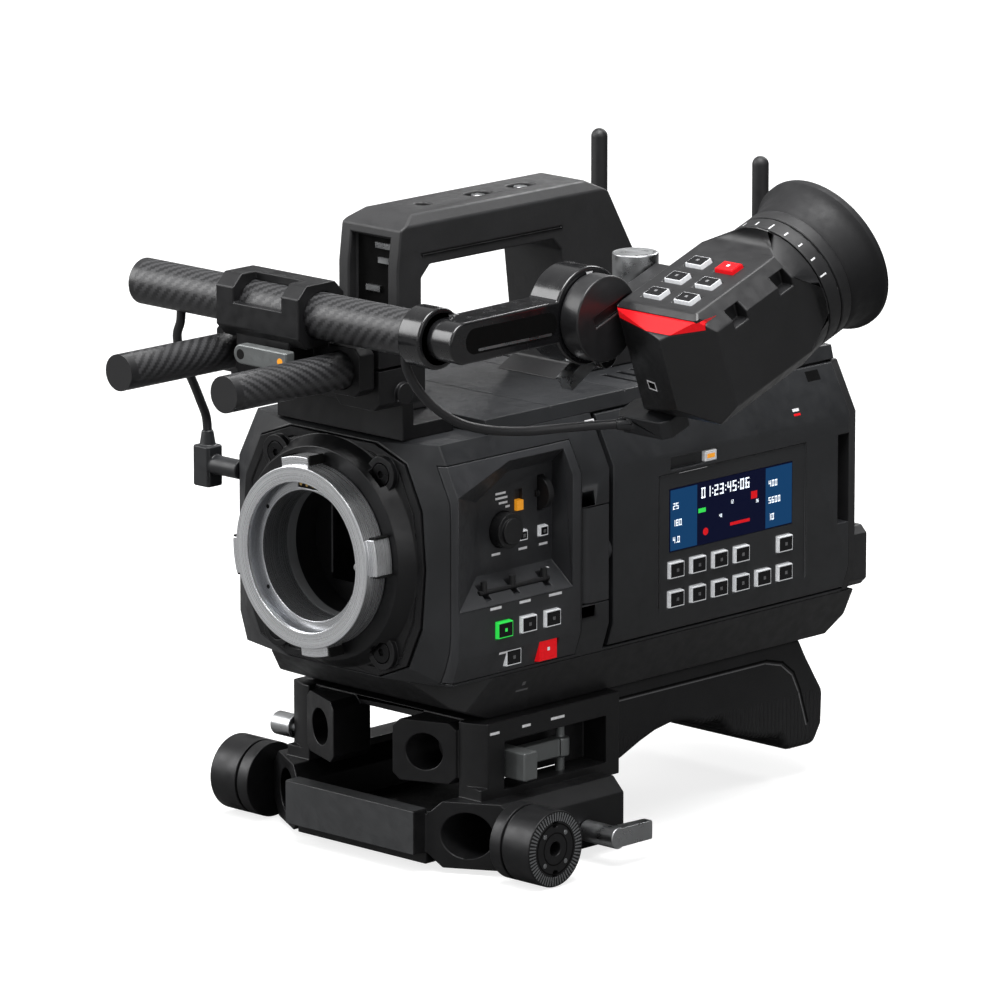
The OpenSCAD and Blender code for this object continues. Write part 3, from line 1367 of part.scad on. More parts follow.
pad_outline = [for (s = pad_shares)
    [pad_y[0] + s[0] * (pad_y[1] - pad_y[0]), pad_z[0] + s[1] * (pad_z[1] - pad_z[0])]];
module shoulder_pad() {
    color([0.12, 0.12, 0.13]) prism_x(pad_outline, [-pad_w / 2, pad_w / 2]);
}
base_lever_y = 66;
lever_knob = [9, 8, 12];
lever_bar_t = 5;
lever_bar_h = 8;
module base_lever() {
    z = (window_low_z + window_high_z) / 2;
    color([0.45, 0.46, 0.48]) {
        rod_z(lever_pin_r, lever_pin_x, lever_pin_y,
            [window_low_z - lever_pin_reach + gap, window_high_z + lever_pin_reach - gap]);
        rod_z(lever_bar_h / 2, lever_pin_x, lever_pin_y, [z - lever_bar_h / 2, z + lever_bar_h / 2]);
        block([lever_pin_x - lever_bar_t / 2, lever_pin_x + lever_bar_t / 2], [base_lever_y, lever_pin_y],
            [z - lever_bar_h / 2, z + lever_bar_h / 2]);
        block([lever_pin_x - lever_bar_t / 2, plate_out_x + lever_knob[0]],
            [base_lever_y - lever_knob[1], base_lever_y], [z - lever_knob[2] / 2, z + lever_knob[2] / 2]);
    }
}
clamp_arm_inset = 3;
clamp_arm_t = 5;
clamp_arm_out = rosette_span / 2 - clamp_arm_inset;
clamp_arm_x = [clamp_arm_out - clamp_arm_t, clamp_arm_out];
clamp_arm_len = 20;
clamp_arm_h = 8;
stub_r = 4.5;
module clamp_lever() {
    color([0.7, 0.71, 0.73]) {
        rod_x(clamp_shaft_r, [low_block_x[1] - clamp_shaft_in + gap, low_block_x[1] + gap],
            clamp_shaft_y, clamp_shaft_z);
        rod_x(stub_r, [low_block_x[1] + gap, clamp_arm_x[1]], clamp_shaft_y, clamp_shaft_z);
        block(clamp_arm_x, [clamp_shaft_y, clamp_shaft_y + clamp_arm_len],
            [clamp_shaft_z - clamp_arm_h / 2, clamp_shaft_z + clamp_arm_h / 2]);
    }
}
lock_knob_r = 5;
lock_knob_t = 11;
module clamp_knob() {
    color([0.7, 0.71, 0.73]) {
        rod_x(knob_shaft_r, [-plate_out_x - gap, -plate_in_x - gap], lock_knob_y, lock_knob_z);
        rod_x(lock_knob_r, [-plate_out_x - gap - lock_knob_t, -plate_out_x - gap], lock_knob_y, lock_knob_z);
    }
}

module screws() {
    color([0.5, 0.5, 0.52]) {
        for (p = bezel_screws()) difference() {
            union() {
                rod_y(screw_head_d / 2, p[0], [bezel_front - ear_t, bezel_front - ear_t + screw_head_t], p[1]);
                rod_y(screw_shank_d / 2, p[0],
                    [bezel_front - ear_t + screw_head_t, bezel_front + screw_len - gap], p[1]);
            }
            translate([p[0], bezel_front - ear_t - cut, p[1]]) rotate([-90, 0, 0])
                cylinder(r = hex_d / 2, h = cut + hex_deep, $fn = 6);
        }
        for (y = handle_screw_y) difference() {
            rod_z(handle_screw_r - gap, 0, y, [handle_top - handle_screw_deep, handle_top - handle_screw_deep / 2]);
            translate([0, y, handle_top - handle_screw_deep / 2 - hex_deep])
                cylinder(r = hex_d / 2, h = cut + hex_deep, $fn = 6);
        }
    }
}

chassis_shell();
bottom_tray();
top_cover();
mount_plate();
lens_flange();
contact_pins();
sensor_module();
sensor_glass();
main_board();
cooler_frame();
rear_plate();
control_panel();
top_handle();
screws();
evf_rods();
rod_clamp();
base_frame();
shoulder_pad();
rosettes();
hinge_pin();
left_plug();
cable_left();
lock_ring();
fan_rotor();
monitor_hinge();
monitor_door();
status_screen();
touch_screen();
door_keys_upper();
door_keys_lower();
door_slider();
green_key();
white_keys();
low_key();
record_button();
menu_dial();
shelf_toggles();
power_switch();
thumb_wheel();
evf_bridge();
tube_lever();
cross_tube();
cable_core();
cable_right();
evf_arm();
arm_lever();
top_knob();
evf_body();
evf_tally();
evf_keys();
evf_record_key();
diopter_ring();
eyecup();
eyepiece_lens();
evf_plug();
antenna_left();
antenna_right();
base_lever();
clamp_lever();
clamp_knob();
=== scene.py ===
"""Looks of the shoulder-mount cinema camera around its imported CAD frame."""
import json
import math

import bmesh
import bpy
from mathutils import Matrix, Vector
from mathutils.bvhtree import BVHTree


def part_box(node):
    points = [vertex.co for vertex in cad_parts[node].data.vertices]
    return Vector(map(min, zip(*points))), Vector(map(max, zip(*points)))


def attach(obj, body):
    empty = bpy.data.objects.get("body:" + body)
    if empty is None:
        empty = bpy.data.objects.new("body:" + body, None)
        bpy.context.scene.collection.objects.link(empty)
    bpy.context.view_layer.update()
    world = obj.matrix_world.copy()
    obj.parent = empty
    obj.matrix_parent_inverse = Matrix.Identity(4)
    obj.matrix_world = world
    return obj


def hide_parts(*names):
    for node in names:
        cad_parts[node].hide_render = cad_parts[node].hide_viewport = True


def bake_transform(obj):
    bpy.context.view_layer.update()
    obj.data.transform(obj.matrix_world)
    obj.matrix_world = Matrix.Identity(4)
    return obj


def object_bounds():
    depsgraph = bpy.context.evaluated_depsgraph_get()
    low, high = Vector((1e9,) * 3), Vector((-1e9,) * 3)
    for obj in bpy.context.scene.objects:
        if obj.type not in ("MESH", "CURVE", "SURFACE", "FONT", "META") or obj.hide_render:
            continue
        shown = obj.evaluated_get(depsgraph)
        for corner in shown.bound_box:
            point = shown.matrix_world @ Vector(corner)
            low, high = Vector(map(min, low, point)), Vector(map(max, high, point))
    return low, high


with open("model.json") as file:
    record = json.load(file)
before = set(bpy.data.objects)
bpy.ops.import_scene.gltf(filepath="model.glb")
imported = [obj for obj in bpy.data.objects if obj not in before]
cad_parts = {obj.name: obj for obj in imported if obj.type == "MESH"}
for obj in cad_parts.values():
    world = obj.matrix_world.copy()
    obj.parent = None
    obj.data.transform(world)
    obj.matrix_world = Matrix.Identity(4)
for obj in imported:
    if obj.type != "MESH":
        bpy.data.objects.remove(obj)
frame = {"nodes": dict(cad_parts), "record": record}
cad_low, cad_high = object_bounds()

MM = 0.001
NODES = frame["nodes"]
BODY_OF = {n: b for b, ns in frame["record"]["behaviour"]["bodies"].items() for n in ns}


def mm(x, y, z):
    """A point given in millimetres, as metres."""
    return Vector((x * MM, y * MM, z * MM))


def node_box(name):
    """The low and high corners of a CAD node's box, in millimetres."""
    return [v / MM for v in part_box(name)]


# The viewfinder's own frame: its X axis is the pivot that it tilts about

TILT = math.radians(20)
PIVOT = (0, 54.5, 106)
EVF = Matrix.Translation(mm(*PIVOT)) @ Matrix.Rotation(TILT, 4, "X")

# Camera of the photograph

TARGET = mm(0, 111, 5)
AZIMUTH = math.radians(44)
ELEVATION = math.radians(12.8)
DISTANCE = 3.72
LENS = 324
SENSOR_WIDTH = 36
VIEW_DEPTH = 20


def make_camera():
    toward = Vector((math.sin(AZIMUTH) * math.cos(ELEVATION), -math.cos(AZIMUTH) * math.cos(ELEVATION),
                     math.sin(ELEVATION)))
    data = bpy.data.cameras.new("photo_camera")
    data.lens, data.sensor_width = LENS, SENSOR_WIDTH
    data.clip_end = VIEW_DEPTH
    camera = bpy.data.objects.new("photo_camera", data)
    camera.location = TARGET + toward * DISTANCE
    camera.rotation_euler = (-toward).to_track_quat("-Z", "Y").to_euler()
    bpy.context.collection.objects.link(camera)
    bpy.context.scene.camera = camera


# Materials

GLOSS_SPREAD = 0.08
GLOSS_PATCHES = 6
COAT_ROUGHNESS = 0.12
GLASS_ROUGHNESS = 0.03
CARBON_DARK = (0.014, 0.014, 0.015)
CARBON_LIGHT = (0.034, 0.034, 0.036)
CARBON_TOWS = 44
CARBON_PITCH = 1.3 * MM
TWILL_REPEAT = 4.0
TWILL_OVER = 1.5
POSITIVE_SHIFT = 4000.0
END_FACE = 0.8


def new_material(name):
    material = bpy.data.materials.new(name)
    material.use_nodes = True
    tree = material.node_tree
    return material, tree, tree.nodes["Principled BSDF"]


def link(tree, source, target):
    tree.links.new(source, target)


def set_inputs(target, **values):
    """Sets a node's inputs by name, with _ where the name has a space."""
    for key, value in values.items():
        target.inputs[key.replace("_", " ")].default_value = value


def node(tree, kind, **values):
    made = tree.nodes.new(kind)
    set_inputs(made, **values)
    return made


def place_in(tree, kind="Object"):
    return tree.nodes.new("ShaderNodeTexCoord").outputs[kind]


def split(tree, vector):
    made = tree.nodes.new("ShaderNodeSeparateXYZ")
    link(tree, vector, made.inputs[0])
    return made.outputs


def math_node(tree, operation, a, b=0.0):
    made = tree.nodes.new("ShaderNodeMath")
    made.operation = operation
    for socket, value in zip(made.inputs, (a, b)):
        if isinstance(value, bpy.types.NodeSocket):
            link(tree, value, socket)
        else:
            socket.default_value = value
    return made.outputs[0]


def noise(tree, vector, size_mm, detail):
    made = node(tree, "ShaderNodeTexNoise", Scale=1 / (size_mm * MM), Detail=detail)
    link(tree, vector, made.inputs["Vector"])
    return made.outputs["Fac"]


def ramp(tree, value, low, high):
    """Spreads the middle of a noise's range between low and high."""
    made = node(tree, "ShaderNodeMapRange", From_Min=0.3, From_Max=0.7, To_Min=low, To_Max=high)
    link(tree, value, made.inputs["Value"])
    return made.outputs["Result"]


def two_colours(tree, factor, dark, light, shader):
    made = tree.nodes.new("ShaderNodeMix")
    made.data_type = "RGBA"
    made.inputs["A"].default_value = (*dark, 1)
    made.inputs["B"].default_value = (*light, 1)
    link(tree, factor, made.inputs["Factor"])
    link(tree, made.outputs["Result"], shader.inputs["Base Color"])


def bump(tree, height, shader, strength, depth_mm):
    made = node(tree, "ShaderNodeBump", Strength=strength, Distance=depth_mm * MM)
    link(tree, height, made.inputs["Height"])
    link(tree, made.outputs["Normal"], shader.inputs["Normal"])


def scaled(colour, k):
    return tuple(min(1, c * k) for c in colour)


def surface(name, colour, rough, metal=0.0, grain_mm=0.35, depth_mm=0.03, spread=0.18, patch_mm=30, coat=0.0,
            specular=0.5):
    """A moulded, painted or coated surface: patches of tone, uneven gloss and a fine grain."""
    material, tree, shader = new_material(name)
    place = place_in(tree)
    patch = noise(tree, place, patch_mm, detail=4)
    two_colours(tree, ramp(tree, patch, 0, 1), scaled(colour, 1 - spread), scaled(colour, 1 + spread), shader)
    gloss = noise(tree, place, patch_mm / GLOSS_PATCHES, detail=3)
    link(tree, ramp(tree, gloss, rough - GLOSS_SPREAD, rough + GLOSS_SPREAD), shader.inputs["Roughness"])
    bump(tree, noise(tree, place, grain_mm, detail=2), shader, strength=0.6, depth_mm=depth_mm)
    set_inputs(shader, Metallic=metal, Coat_Weight=coat, Coat_Roughness=COAT_ROUGHNESS,
               Specular_IOR_Level=specular)
    return material


def turned(name, colour, rough, metal, line_mm=0.25):
    """Metal turned on a lathe about the lens axis: fine rings around it."""
    material, tree, shader = new_material(name)
    at = split(tree, place_in(tree))
    radius = math_node(tree, "SQRT", math_node(tree, "ADD", math_node(tree, "MULTIPLY", at["X"], at["X"]),
                                                math_node(tree, "MULTIPLY", at["Z"], at["Z"])))
    line = tree.nodes.new("ShaderNodeCombineXYZ")
    link(tree, radius, line.inputs["X"])
    link(tree, at["Y"], line.inputs["Y"])
    rings = noise(tree, line.outputs[0], line_mm, detail=3)
    two_colours(tree, ramp(tree, rings, 0, 1), scaled(colour, 0.9), colour, shader)
    link(tree, ramp(tree, rings, rough - 0.05, rough + 0.07), shader.inputs["Roughness"])
    bump(tree, rings, shader, strength=0.3, depth_mm=0.006)
    set_inputs(shader, Metallic=metal)
    return material


def carbon(name, axis, centre_mm, cap_at_mm):
    """Twill weave wrapped on a tube along X or Y. Tubes at +centre and -centre share it."""
    material, tree, shader = new_material(name)
    at = split(tree, place_in(tree))
    along, across = ("X", "Y") if axis == "X" else ("Y", "X")
    side = at[across]
    if axis == "Y":
        side = math_node(tree, "ABSOLUTE", side)
    turn = math_node(tree, "ARCTAN2", math_node(tree, "SUBTRACT", at["Z"], centre_mm[1] * MM),
                     math_node(tree, "SUBTRACT", side, centre_mm[0] * MM))
    around = math_node(tree, "FLOOR", math_node(tree, "MULTIPLY", turn, CARBON_TOWS / (2 * math.pi)))
    step = math_node(tree, "FLOOR", math_node(tree, "DIVIDE", at[along], CARBON_PITCH))
    count = math_node(tree, "ADD", math_node(tree, "ADD", around, step), POSITIVE_SHIFT)
    over = math_node(tree, "LESS_THAN", math_node(tree, "MODULO", count, TWILL_REPEAT), TWILL_OVER)
    facing = split(tree, place_in(tree, "Normal"))
    on_side = math_node(tree, "LESS_THAN", math_node(tree, "ABSOLUTE", facing[along]), END_FACE)
    past_cap = math_node(tree, "GREATER_THAN", at[along], cap_at_mm * MM)
    over = math_node(tree, "MULTIPLY", over, math_node(tree, "MULTIPLY", on_side, past_cap))
    two_colours(tree, over, CARBON_DARK, CARBON_LIGHT, shader)
    link(tree, ramp(tree, over, 0.34, 0.5), shader.inputs["Roughness"])
    bump(tree, over, shader, strength=0.35, depth_mm=0.08)
    set_inputs(shader, Specular_IOR_Level=0.6)
    return material


def glow(name, colour, strength, base=None, specular=0.5):
    """A lit plastic, or print given a painted glow: its own light and a little body colour."""
    material, tree, shader = new_material(name)
    base = base or colour
    tone = ramp(tree, noise(tree, place_in(tree), 1.2, detail=2), 0, 1)
    two_colours(tree, tone, scaled(base, 0.8), base, shader)
    set_inputs(shader, Roughness=0.35, Specular_IOR_Level=specular, Emission_Color=(*colour, 1),
               Emission_Strength=strength)
    return material


def ribbed(name, colour, rough, pitch_mm, below_mm):
    """Soft foam whose lower part has fine upright ribs, spaced along Y."""
    material, tree, shader = new_material(name)
    place = place_in(tree)
    at = split(tree, place)
    patch = ramp(tree, noise(tree, place, 25, detail=4), 0, 1)
    two_colours(tree, patch, scaled(colour, 0.8), scaled(colour, 1.2), shader)
    wave = math_node(tree, "SINE", math_node(tree, "MULTIPLY", at["Y"], 2 * math.pi / (pitch_mm * MM)))
    low = math_node(tree, "LESS_THAN", at["Z"], below_mm * MM)
    grain = math_node(tree, "MULTIPLY", noise(tree, place, 1.1, detail=2), 0.4)
    relief = math_node(tree, "ADD", math_node(tree, "MULTIPLY", wave, low), grain)
    bump(tree, relief, shader, strength=0.8, depth_mm=0.3)
    set_inputs(shader, Roughness=rough, Specular_IOR_Level=0.35)
    return material


def clear_glass(name, colour):
    material, tree, shader = new_material(name)
    tone = ramp(tree, noise(tree, place_in(tree), 14, detail=2), 0, 1)
    two_colours(tree, tone, scaled(colour, 0.7), colour, shader)
    set_inputs(shader, Roughness=GLASS_ROUGHNESS, Coat_Weight=1, Coat_Roughness=0.02)
    return material


LOOK = {
    "housing": surface("housing_paint", (0.021, 0.022, 0.024), 0.42),
    "panel": surface("panel_paint", (0.032, 0.033, 0.036), 0.45),
    "tray": surface("tray_paint", (0.016, 0.016, 0.017), 0.5, grain_mm=0.5),
    "bezel": surface("bezel_black", (0.009, 0.009, 0.010), 0.38, metal=0.3),
    "base": surface("base_paint", (0.015, 0.015, 0.016), 0.4, metal=0.4, spread=0.12),
    "handle": surface("handle_paint", (0.019, 0.019, 0.020), 0.5, grain_mm=0.6, depth_mm=0.05),
    "evf": surface("finder_paint", (0.015, 0.015, 0.016), 0.36, grain_mm=0.3),
    "gloss": surface("gloss_black", (0.008, 0.008, 0.009), 0.22, metal=0.2, grain_mm=2, depth_mm=0.01,
                     coat=0.6),
    "bridge": surface("bridge_black", (0.014, 0.014, 0.015), 0.4, metal=0.4),
    "black": surface("black_plastic", (0.010, 0.010, 0.011), 0.5, grain_mm=0.4),
    "rubber": surface("cup_rubber", (0.008, 0.008, 0.009), 0.62, grain_mm=0.8, depth_mm=0.06, specular=0.35),
    "grip": surface("ring_grip", (0.010, 0.010, 0.011), 0.5, grain_mm=0.5),
    "pad": ribbed("pad_foam", (0.014, 0.014, 0.015), 0.62, pitch_mm=2.4, below_mm=-94),
    "silver": surface("bare_aluminium", (0.50, 0.51, 0.52), 0.32, metal=1, grain_mm=0.25, spread=0.08),
    "bar": surface("bar_grey", (0.075, 0.077, 0.08), 0.36, metal=0.5, spread=0.06),
    "grey": surface("grey_aluminium", (0.19, 0.2, 0.2), 0.42, metal=0.6, spread=0.1),
    "flange": turned("flange_steel", (0.62, 0.63, 0.65), 0.27, metal=0.92),
    "ring": turned("ring_steel", (0.84, 0.85, 0.87), 0.27, metal=0.88, line_mm=0.4),
    "screw": surface("screw_black", (0.02, 0.02, 0.021), 0.33, metal=0.8),
    # Bare steel; the strip along the arm recess's lower edge uses it too, as a painted highlight
    "steel": surface("pin_steel_and_highlight", (0.40, 0.41, 0.42), 0.3, metal=1),
    "gold": surface("gold_plate", (0.75, 0.5, 0.18), 0.25, metal=1, spread=0.1),
    "tube": carbon("carbon_tube", "X", (-16, 105), cap_at_mm=-75),
    "rods": carbon("carbon_rods", "Y", (30, 83), cap_at_mm=-73),
    "cable": surface("cable_jacket", (0.018, 0.018, 0.020), 0.45, grain_mm=0.6),
    "plug": surface("plug_shell", (0.020, 0.021, 0.023), 0.42),
    "board": surface("board_green", (0.012, 0.07, 0.04), 0.4, spread=0.3, patch_mm=8),
    "fins": surface("fin_aluminium", (0.3, 0.31, 0.32), 0.4, metal=1),
    "sensor": clear_glass("sensor_cover", (0.012, 0.022, 0.026)),
    "eyeglass": clear_glass("eyepiece_glass", (0.010, 0.014, 0.022)),
    "touch": clear_glass("touch_glass", (0.004, 0.004, 0.005)),
    "white": glow("white_light", (0.9, 0.92, 0.95), 0.3, (0.75, 0.76, 0.78)),
    # White print with a faint light of its own: a painted glow, as the marks are no lamps
    "mark": glow("mark_white_painted_glow", (0.8, 0.8, 0.82), 0.18, (0.7, 0.7, 0.71)),
    # Grey print; the pad seam's rim of light is drawn in it too, as a painted highlight
    "dim": surface("mark_and_highlight_grey", (0.16, 0.16, 0.165), 0.5, spread=0.05),
    "green": glow("green_light", (0.03, 0.75, 0.08), 0.8, (0.02, 0.3, 0.05)),
    "red": glow("red_light", (0.85, 0.008, 0.014), 0.5, (0.5, 0.006, 0.01), specular=0.2),
    "amber": glow("amber_light", (0.9, 0.36, 0.02), 0.5, (0.8, 0.3, 0.02)),
    "navy": glow("screen_navy", (0.001, 0.002, 0.017), 1.0, (0.001, 0.002, 0.006), specular=0.12),
    "blue": glow("screen_blue", (0.005, 0.045, 0.13), 1.0, (0.001, 0.004, 0.012), specular=0.12),
    "digit": glow("screen_digit", (0.75, 0.8, 0.85), 1.0),
    "cap": surface("key_cap", (0.004, 0.004, 0.005), 0.3, coat=0.2, grain_mm=2, depth_mm=0.005, specular=0.2),
    "sleeve": surface("sleeve_aluminium", (0.26, 0.265, 0.27), 0.42, metal=0.4, grain_mm=0.3, spread=0.06),
    # Black of seams and grooves; the arm's recess and the handle's front post use it too, as painted shade
    "groove": surface("groove_and_shade_black", (0.002, 0.002, 0.002), 0.8, specular=0.1),
    "hole": surface("hole_black", (0.003, 0.003, 0.003), 0.7, specular=0.2),
}

# Mesh helpers

MERGE_GAP = 1e-6
SAME_PLANE = math.radians(1)
BEVEL_FROM = math.radians(30)
SMOOTH_DEGREES = 35


def add_object(name, mesh, material, body=None, smooth=SMOOTH_DEGREES):
    obj = bpy.data.objects.new(name, mesh)
    bpy.context.collection.objects.link(obj)
    mesh.materials.clear()
    mesh.materials.append(material)
    if smooth:
        mesh.polygons.foreach_set("use_smooth", [True] * len(mesh.polygons))
        mesh.set_sharp_from_angle(angle=math.radians(smooth))
    if body:
        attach(obj, body)
    return obj


def soft_edges(obj, width_mm, segments=2, clamp=True):
    made = obj.modifiers.new("soft_edges", "BEVEL")
    made.width = width_mm * MM
    made.segments = segments
    made.limit_method = "ANGLE"
    made.angle_limit = BEVEL_FROM
    made.use_clamp_overlap = clamp
    made.harden_normals = True


def finished(name, bm, material, body, bevel_mm=0.0, smooth=SMOOTH_DEGREES, place=None):
    """Turns the gathered geometry into one piece that rides on a body."""
    if place is not None:
        bmesh.ops.transform(bm, matrix=place, verts=bm.verts)
    bmesh.ops.recalc_face_normals(bm, faces=bm.faces)
    mesh = bpy.data.meshes.new(name)
    bm.to_mesh(mesh)
    bm.free()
    obj = add_object(name, mesh, material, body, smooth)
    if bevel_mm:
        soft_edges(obj, bevel_mm)
    return obj


def flat(name, bm, look, body="camera"):
    """A piece of flat faces with no rounding."""
    finished(name, bm, LOOK[look], body, smooth=0)


def add_box(bm, low, high):
    """A box between two corners, in millimetres."""
    size = [(b - a) * MM for a, b in zip(low, high)]
    middle = [(a + b) / 2 for a, b in zip(low, high)]
    made = bmesh.ops.create_cube(bm, size=1)["verts"]
    place = Matrix.Translation(mm(*middle)) @ Matrix.Diagonal((*size, 1))
    bmesh.ops.transform(bm, matrix=place, verts=made)
    return made


AXES = {"X": Matrix.Rotation(math.pi / 2, 4, "Y"), "Y": Matrix.Rotation(-math.pi / 2, 4, "X"),
        "Z": Matrix.Identity(4)}


def add_lathe(bm, profile, axis, origin, sides, closed=True):
    """Turns (radius, distance along the axis) points about an axis through origin, in millimetres."""
    place = Matrix.Translation(mm(*origin)) @ AXES[axis]
    rings = []
    for r, h in profile:
        if r <= 0:
            rings.append([bm.verts.new(place @ mm(0, 0, h))])
        else:
            rings.append([bm.verts.new(place @ mm(r * math.cos(a), r * math.sin(a), h))
                          for a in (2 * math.pi * i / sides for i in range(sides))])
    pairs = list(zip(rings, rings[1:]))
    if closed:
        pairs.append((rings[-1], rings[0]))
    for a, b in pairs:
        if len(a) == 1 and len(b) == 1:
            continue
        for i in range(sides):
            j = (i + 1) % sides
            corners = [a[i % len(a)], a[j % len(a)], b[j % len(b)], b[i % len(b)]]
            unique = list(dict.fromkeys(corners))
            if len(unique) > 2:
                bm.faces.new(unique)


def add_disc(bm, axis, origin, radius, height, edge, sides):
    """A short solid cylinder with a broken edge."""
    profile = [(0, 0), (radius, 0), (radius, height - edge), (radius - edge, height), (0, height)]
    add_lathe(bm, profile, axis, origin, sides, closed=False)


def islands(name, place=None):
    """Boxes, in millimetres, of the separate solids of a CAD node, in the frame that place undoes."""
    bm = bmesh.new()
    bm.from_mesh(NODES[name].data)
    bmesh.ops.remove_doubles(bm, verts=bm.verts, dist=MERGE_GAP)
    if place is not None:
        bmesh.ops.transform(bm, matrix=place.inverted(), verts=bm.verts)
    boxes, seen = [], set()
    for vert in bm.verts:
        if vert in seen:
            continue
        group, stack = [], [vert]
        seen.add(vert)
        while stack:
            v = stack.pop()
            group.append(v.co)
            for e in v.link_edges:
                other = e.other_vert(v)
                if other not in seen:
                    seen.add(other)
                    stack.append(other)
        boxes.append(([min(c[i] for c in group) / MM for i in range(3)],
                      [max(c[i] for c in group) / MM for i in range(3)]))
    bm.free()
    return sorted(boxes, key=lambda b: (round(b[0][2], 1), b[0][1]))


# Nodes whose long thin faces soften cleanly only with their own facets, or only with shorter edges
KEEP_FACETS = {"chassis_shell", "mount_plate", "rear_plate", "evf_body", "diopter_ring", "eyecup"}
TIGHT_EDGES = {"arm_lever", "shelf_toggles", "antenna_left", "antenna_right"}


def clean_copy(name):
    """A CAD node's mesh with its split corners joined and its flat faces whole."""
    mesh = NODES[name].data.copy()
    bm = bmesh.new()
    bm.from_mesh(mesh)
    bmesh.ops.remove_doubles(bm, verts=bm.verts, dist=MERGE_GAP)
    if name not in KEEP_FACETS:
        bmesh.ops.dissolve_limit(bm, angle_limit=SAME_PLANE, verts=bm.verts, edges=bm.edges)
    bm.to_mesh(mesh)
    bm.free()
    if "custom_normal" in mesh.attributes:
        mesh.attributes.remove(mesh.attributes["custom_normal"])
    return mesh


def stand_for(obj, name):
    """Hides a CAD node so that a piece shows in its place."""
    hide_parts(name)


def dressed(name, width_mm, material):
    """A copy of a CAD node with its edges softened, shown in the node's place."""
    obj = add_object("skin_" + name, clean_copy(name), material)
    soft_edges(obj, width_mm, clamp=name in TIGHT_EDGES)
    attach(obj, BODY_OF[name])
    stand_for(obj, name)
    return obj


def painted(name, material):
    data = NODES[name].data
    data.materials.clear()
    data.materials.append(material)


# Viewfinder cable: the route's points of part.scad

CABLE_D = 3.8
CABLE_SIDES = 16
PLUG_BEVEL = 0.7
LEFT_ROUTE = [(-57, -16, 97), (-57.5, -16, 91), (-60.5, -15, 85.5), (-65, -10, 79), (-70, -2, 70),
              (-75, 8, 59), (-80, 17, 49), (-82.7, 22.4, 42), (-83, 23.5, 36)]
RIGHT_ROUTE = [(70, -16, 97), (70.5, -15.5, 91), (72, -12, 83), (75, -5, 74), (79, 6, 66), (83, 20, 61.5),
               (88, 35, 59.5), (94, 48, 59.5), (101, 58.5, 60), (108, 66, 60.5)]
RING_STEPS = 4
LEFT_CUT = 3 * RING_STEPS + 3
RIGHT_CUT = 5 * RING_STEPS


def smooth_route(points):
    """The same curve through the points as the CAD source uses."""
    p = [Vector(q) for q in points]
    out = []
    for i in range(len(p) - 1):
        a, b, c, d = p[max(i - 1, 0)], p[i], p[i + 1], p[min(i + 2, len(p) - 1)]
        for k in range(RING_STEPS):
            t = k / RING_STEPS
            out.append(0.5 * (2 * b + (c - a) * t + (2 * a - 5 * b + 4 * c - d) * t * t
                              + (3 * b - a - 3 * c + d) * t ** 3))
    return out + [p[-1]]


def add_sweep(bm, path, radius):
    """A tube along a path in millimetres, with closed ends."""
    rings, up = [], Vector((0.3, 0.2, 1))
    for i, point in enumerate(path):
        heading = (path[min(i + 1, len(path) - 1)] - path[max(i - 1, 0)]).normalized()
        across = heading.cross(up).normalized()
        up = across.cross(heading)
        rings.append([bm.verts.new((point + radius * (across * math.cos(a) + up * math.sin(a))) * MM)
                      for a in (2 * math.pi * k / CABLE_SIDES for k in range(CABLE_SIDES))])
    for a, b in zip(rings, rings[1:]):
        for k in range(CABLE_SIDES):
            j = (k + 1) % CABLE_SIDES
            bm.faces.new((a[k], a[j], b[j], b[k]))
    bm.faces.new(rings[0][::-1])
    bm.faces.new(rings[-1])


def cable_stretch(name, path, replaced):
    """One stretch of the cable: a closed tube along the path, which hides the CAD node that it replaces."""
    bm = bmesh.new()
    add_sweep(bm, path, CABLE_D / 2)
    piece = finished(name, bm, LOOK["cable"], None, smooth=60)
    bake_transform(piece)
    if replaced:
        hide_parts(replaced)


def make_cables():
    for name in ("left_plug", "evf_plug"):
        painted(name, LOOK["plug"])
        dressed(name, PLUG_BEVEL, LOOK["plug"])
    left, right = smooth_route(LEFT_ROUTE), smooth_route(RIGHT_ROUTE)
    cable_stretch("cable_left_top", left[:LEFT_CUT + 1], None)
    cable_stretch("cable_left_end", left[LEFT_CUT:], "cable_left")
    cable_stretch("cable_right_top", right[:RIGHT_CUT + 1], None)
    cable_stretch("cable_right_end", right[RIGHT_CUT:], "cable_right")


# Finish of each CAD node: its look, and the width of its softened edges in millimetres

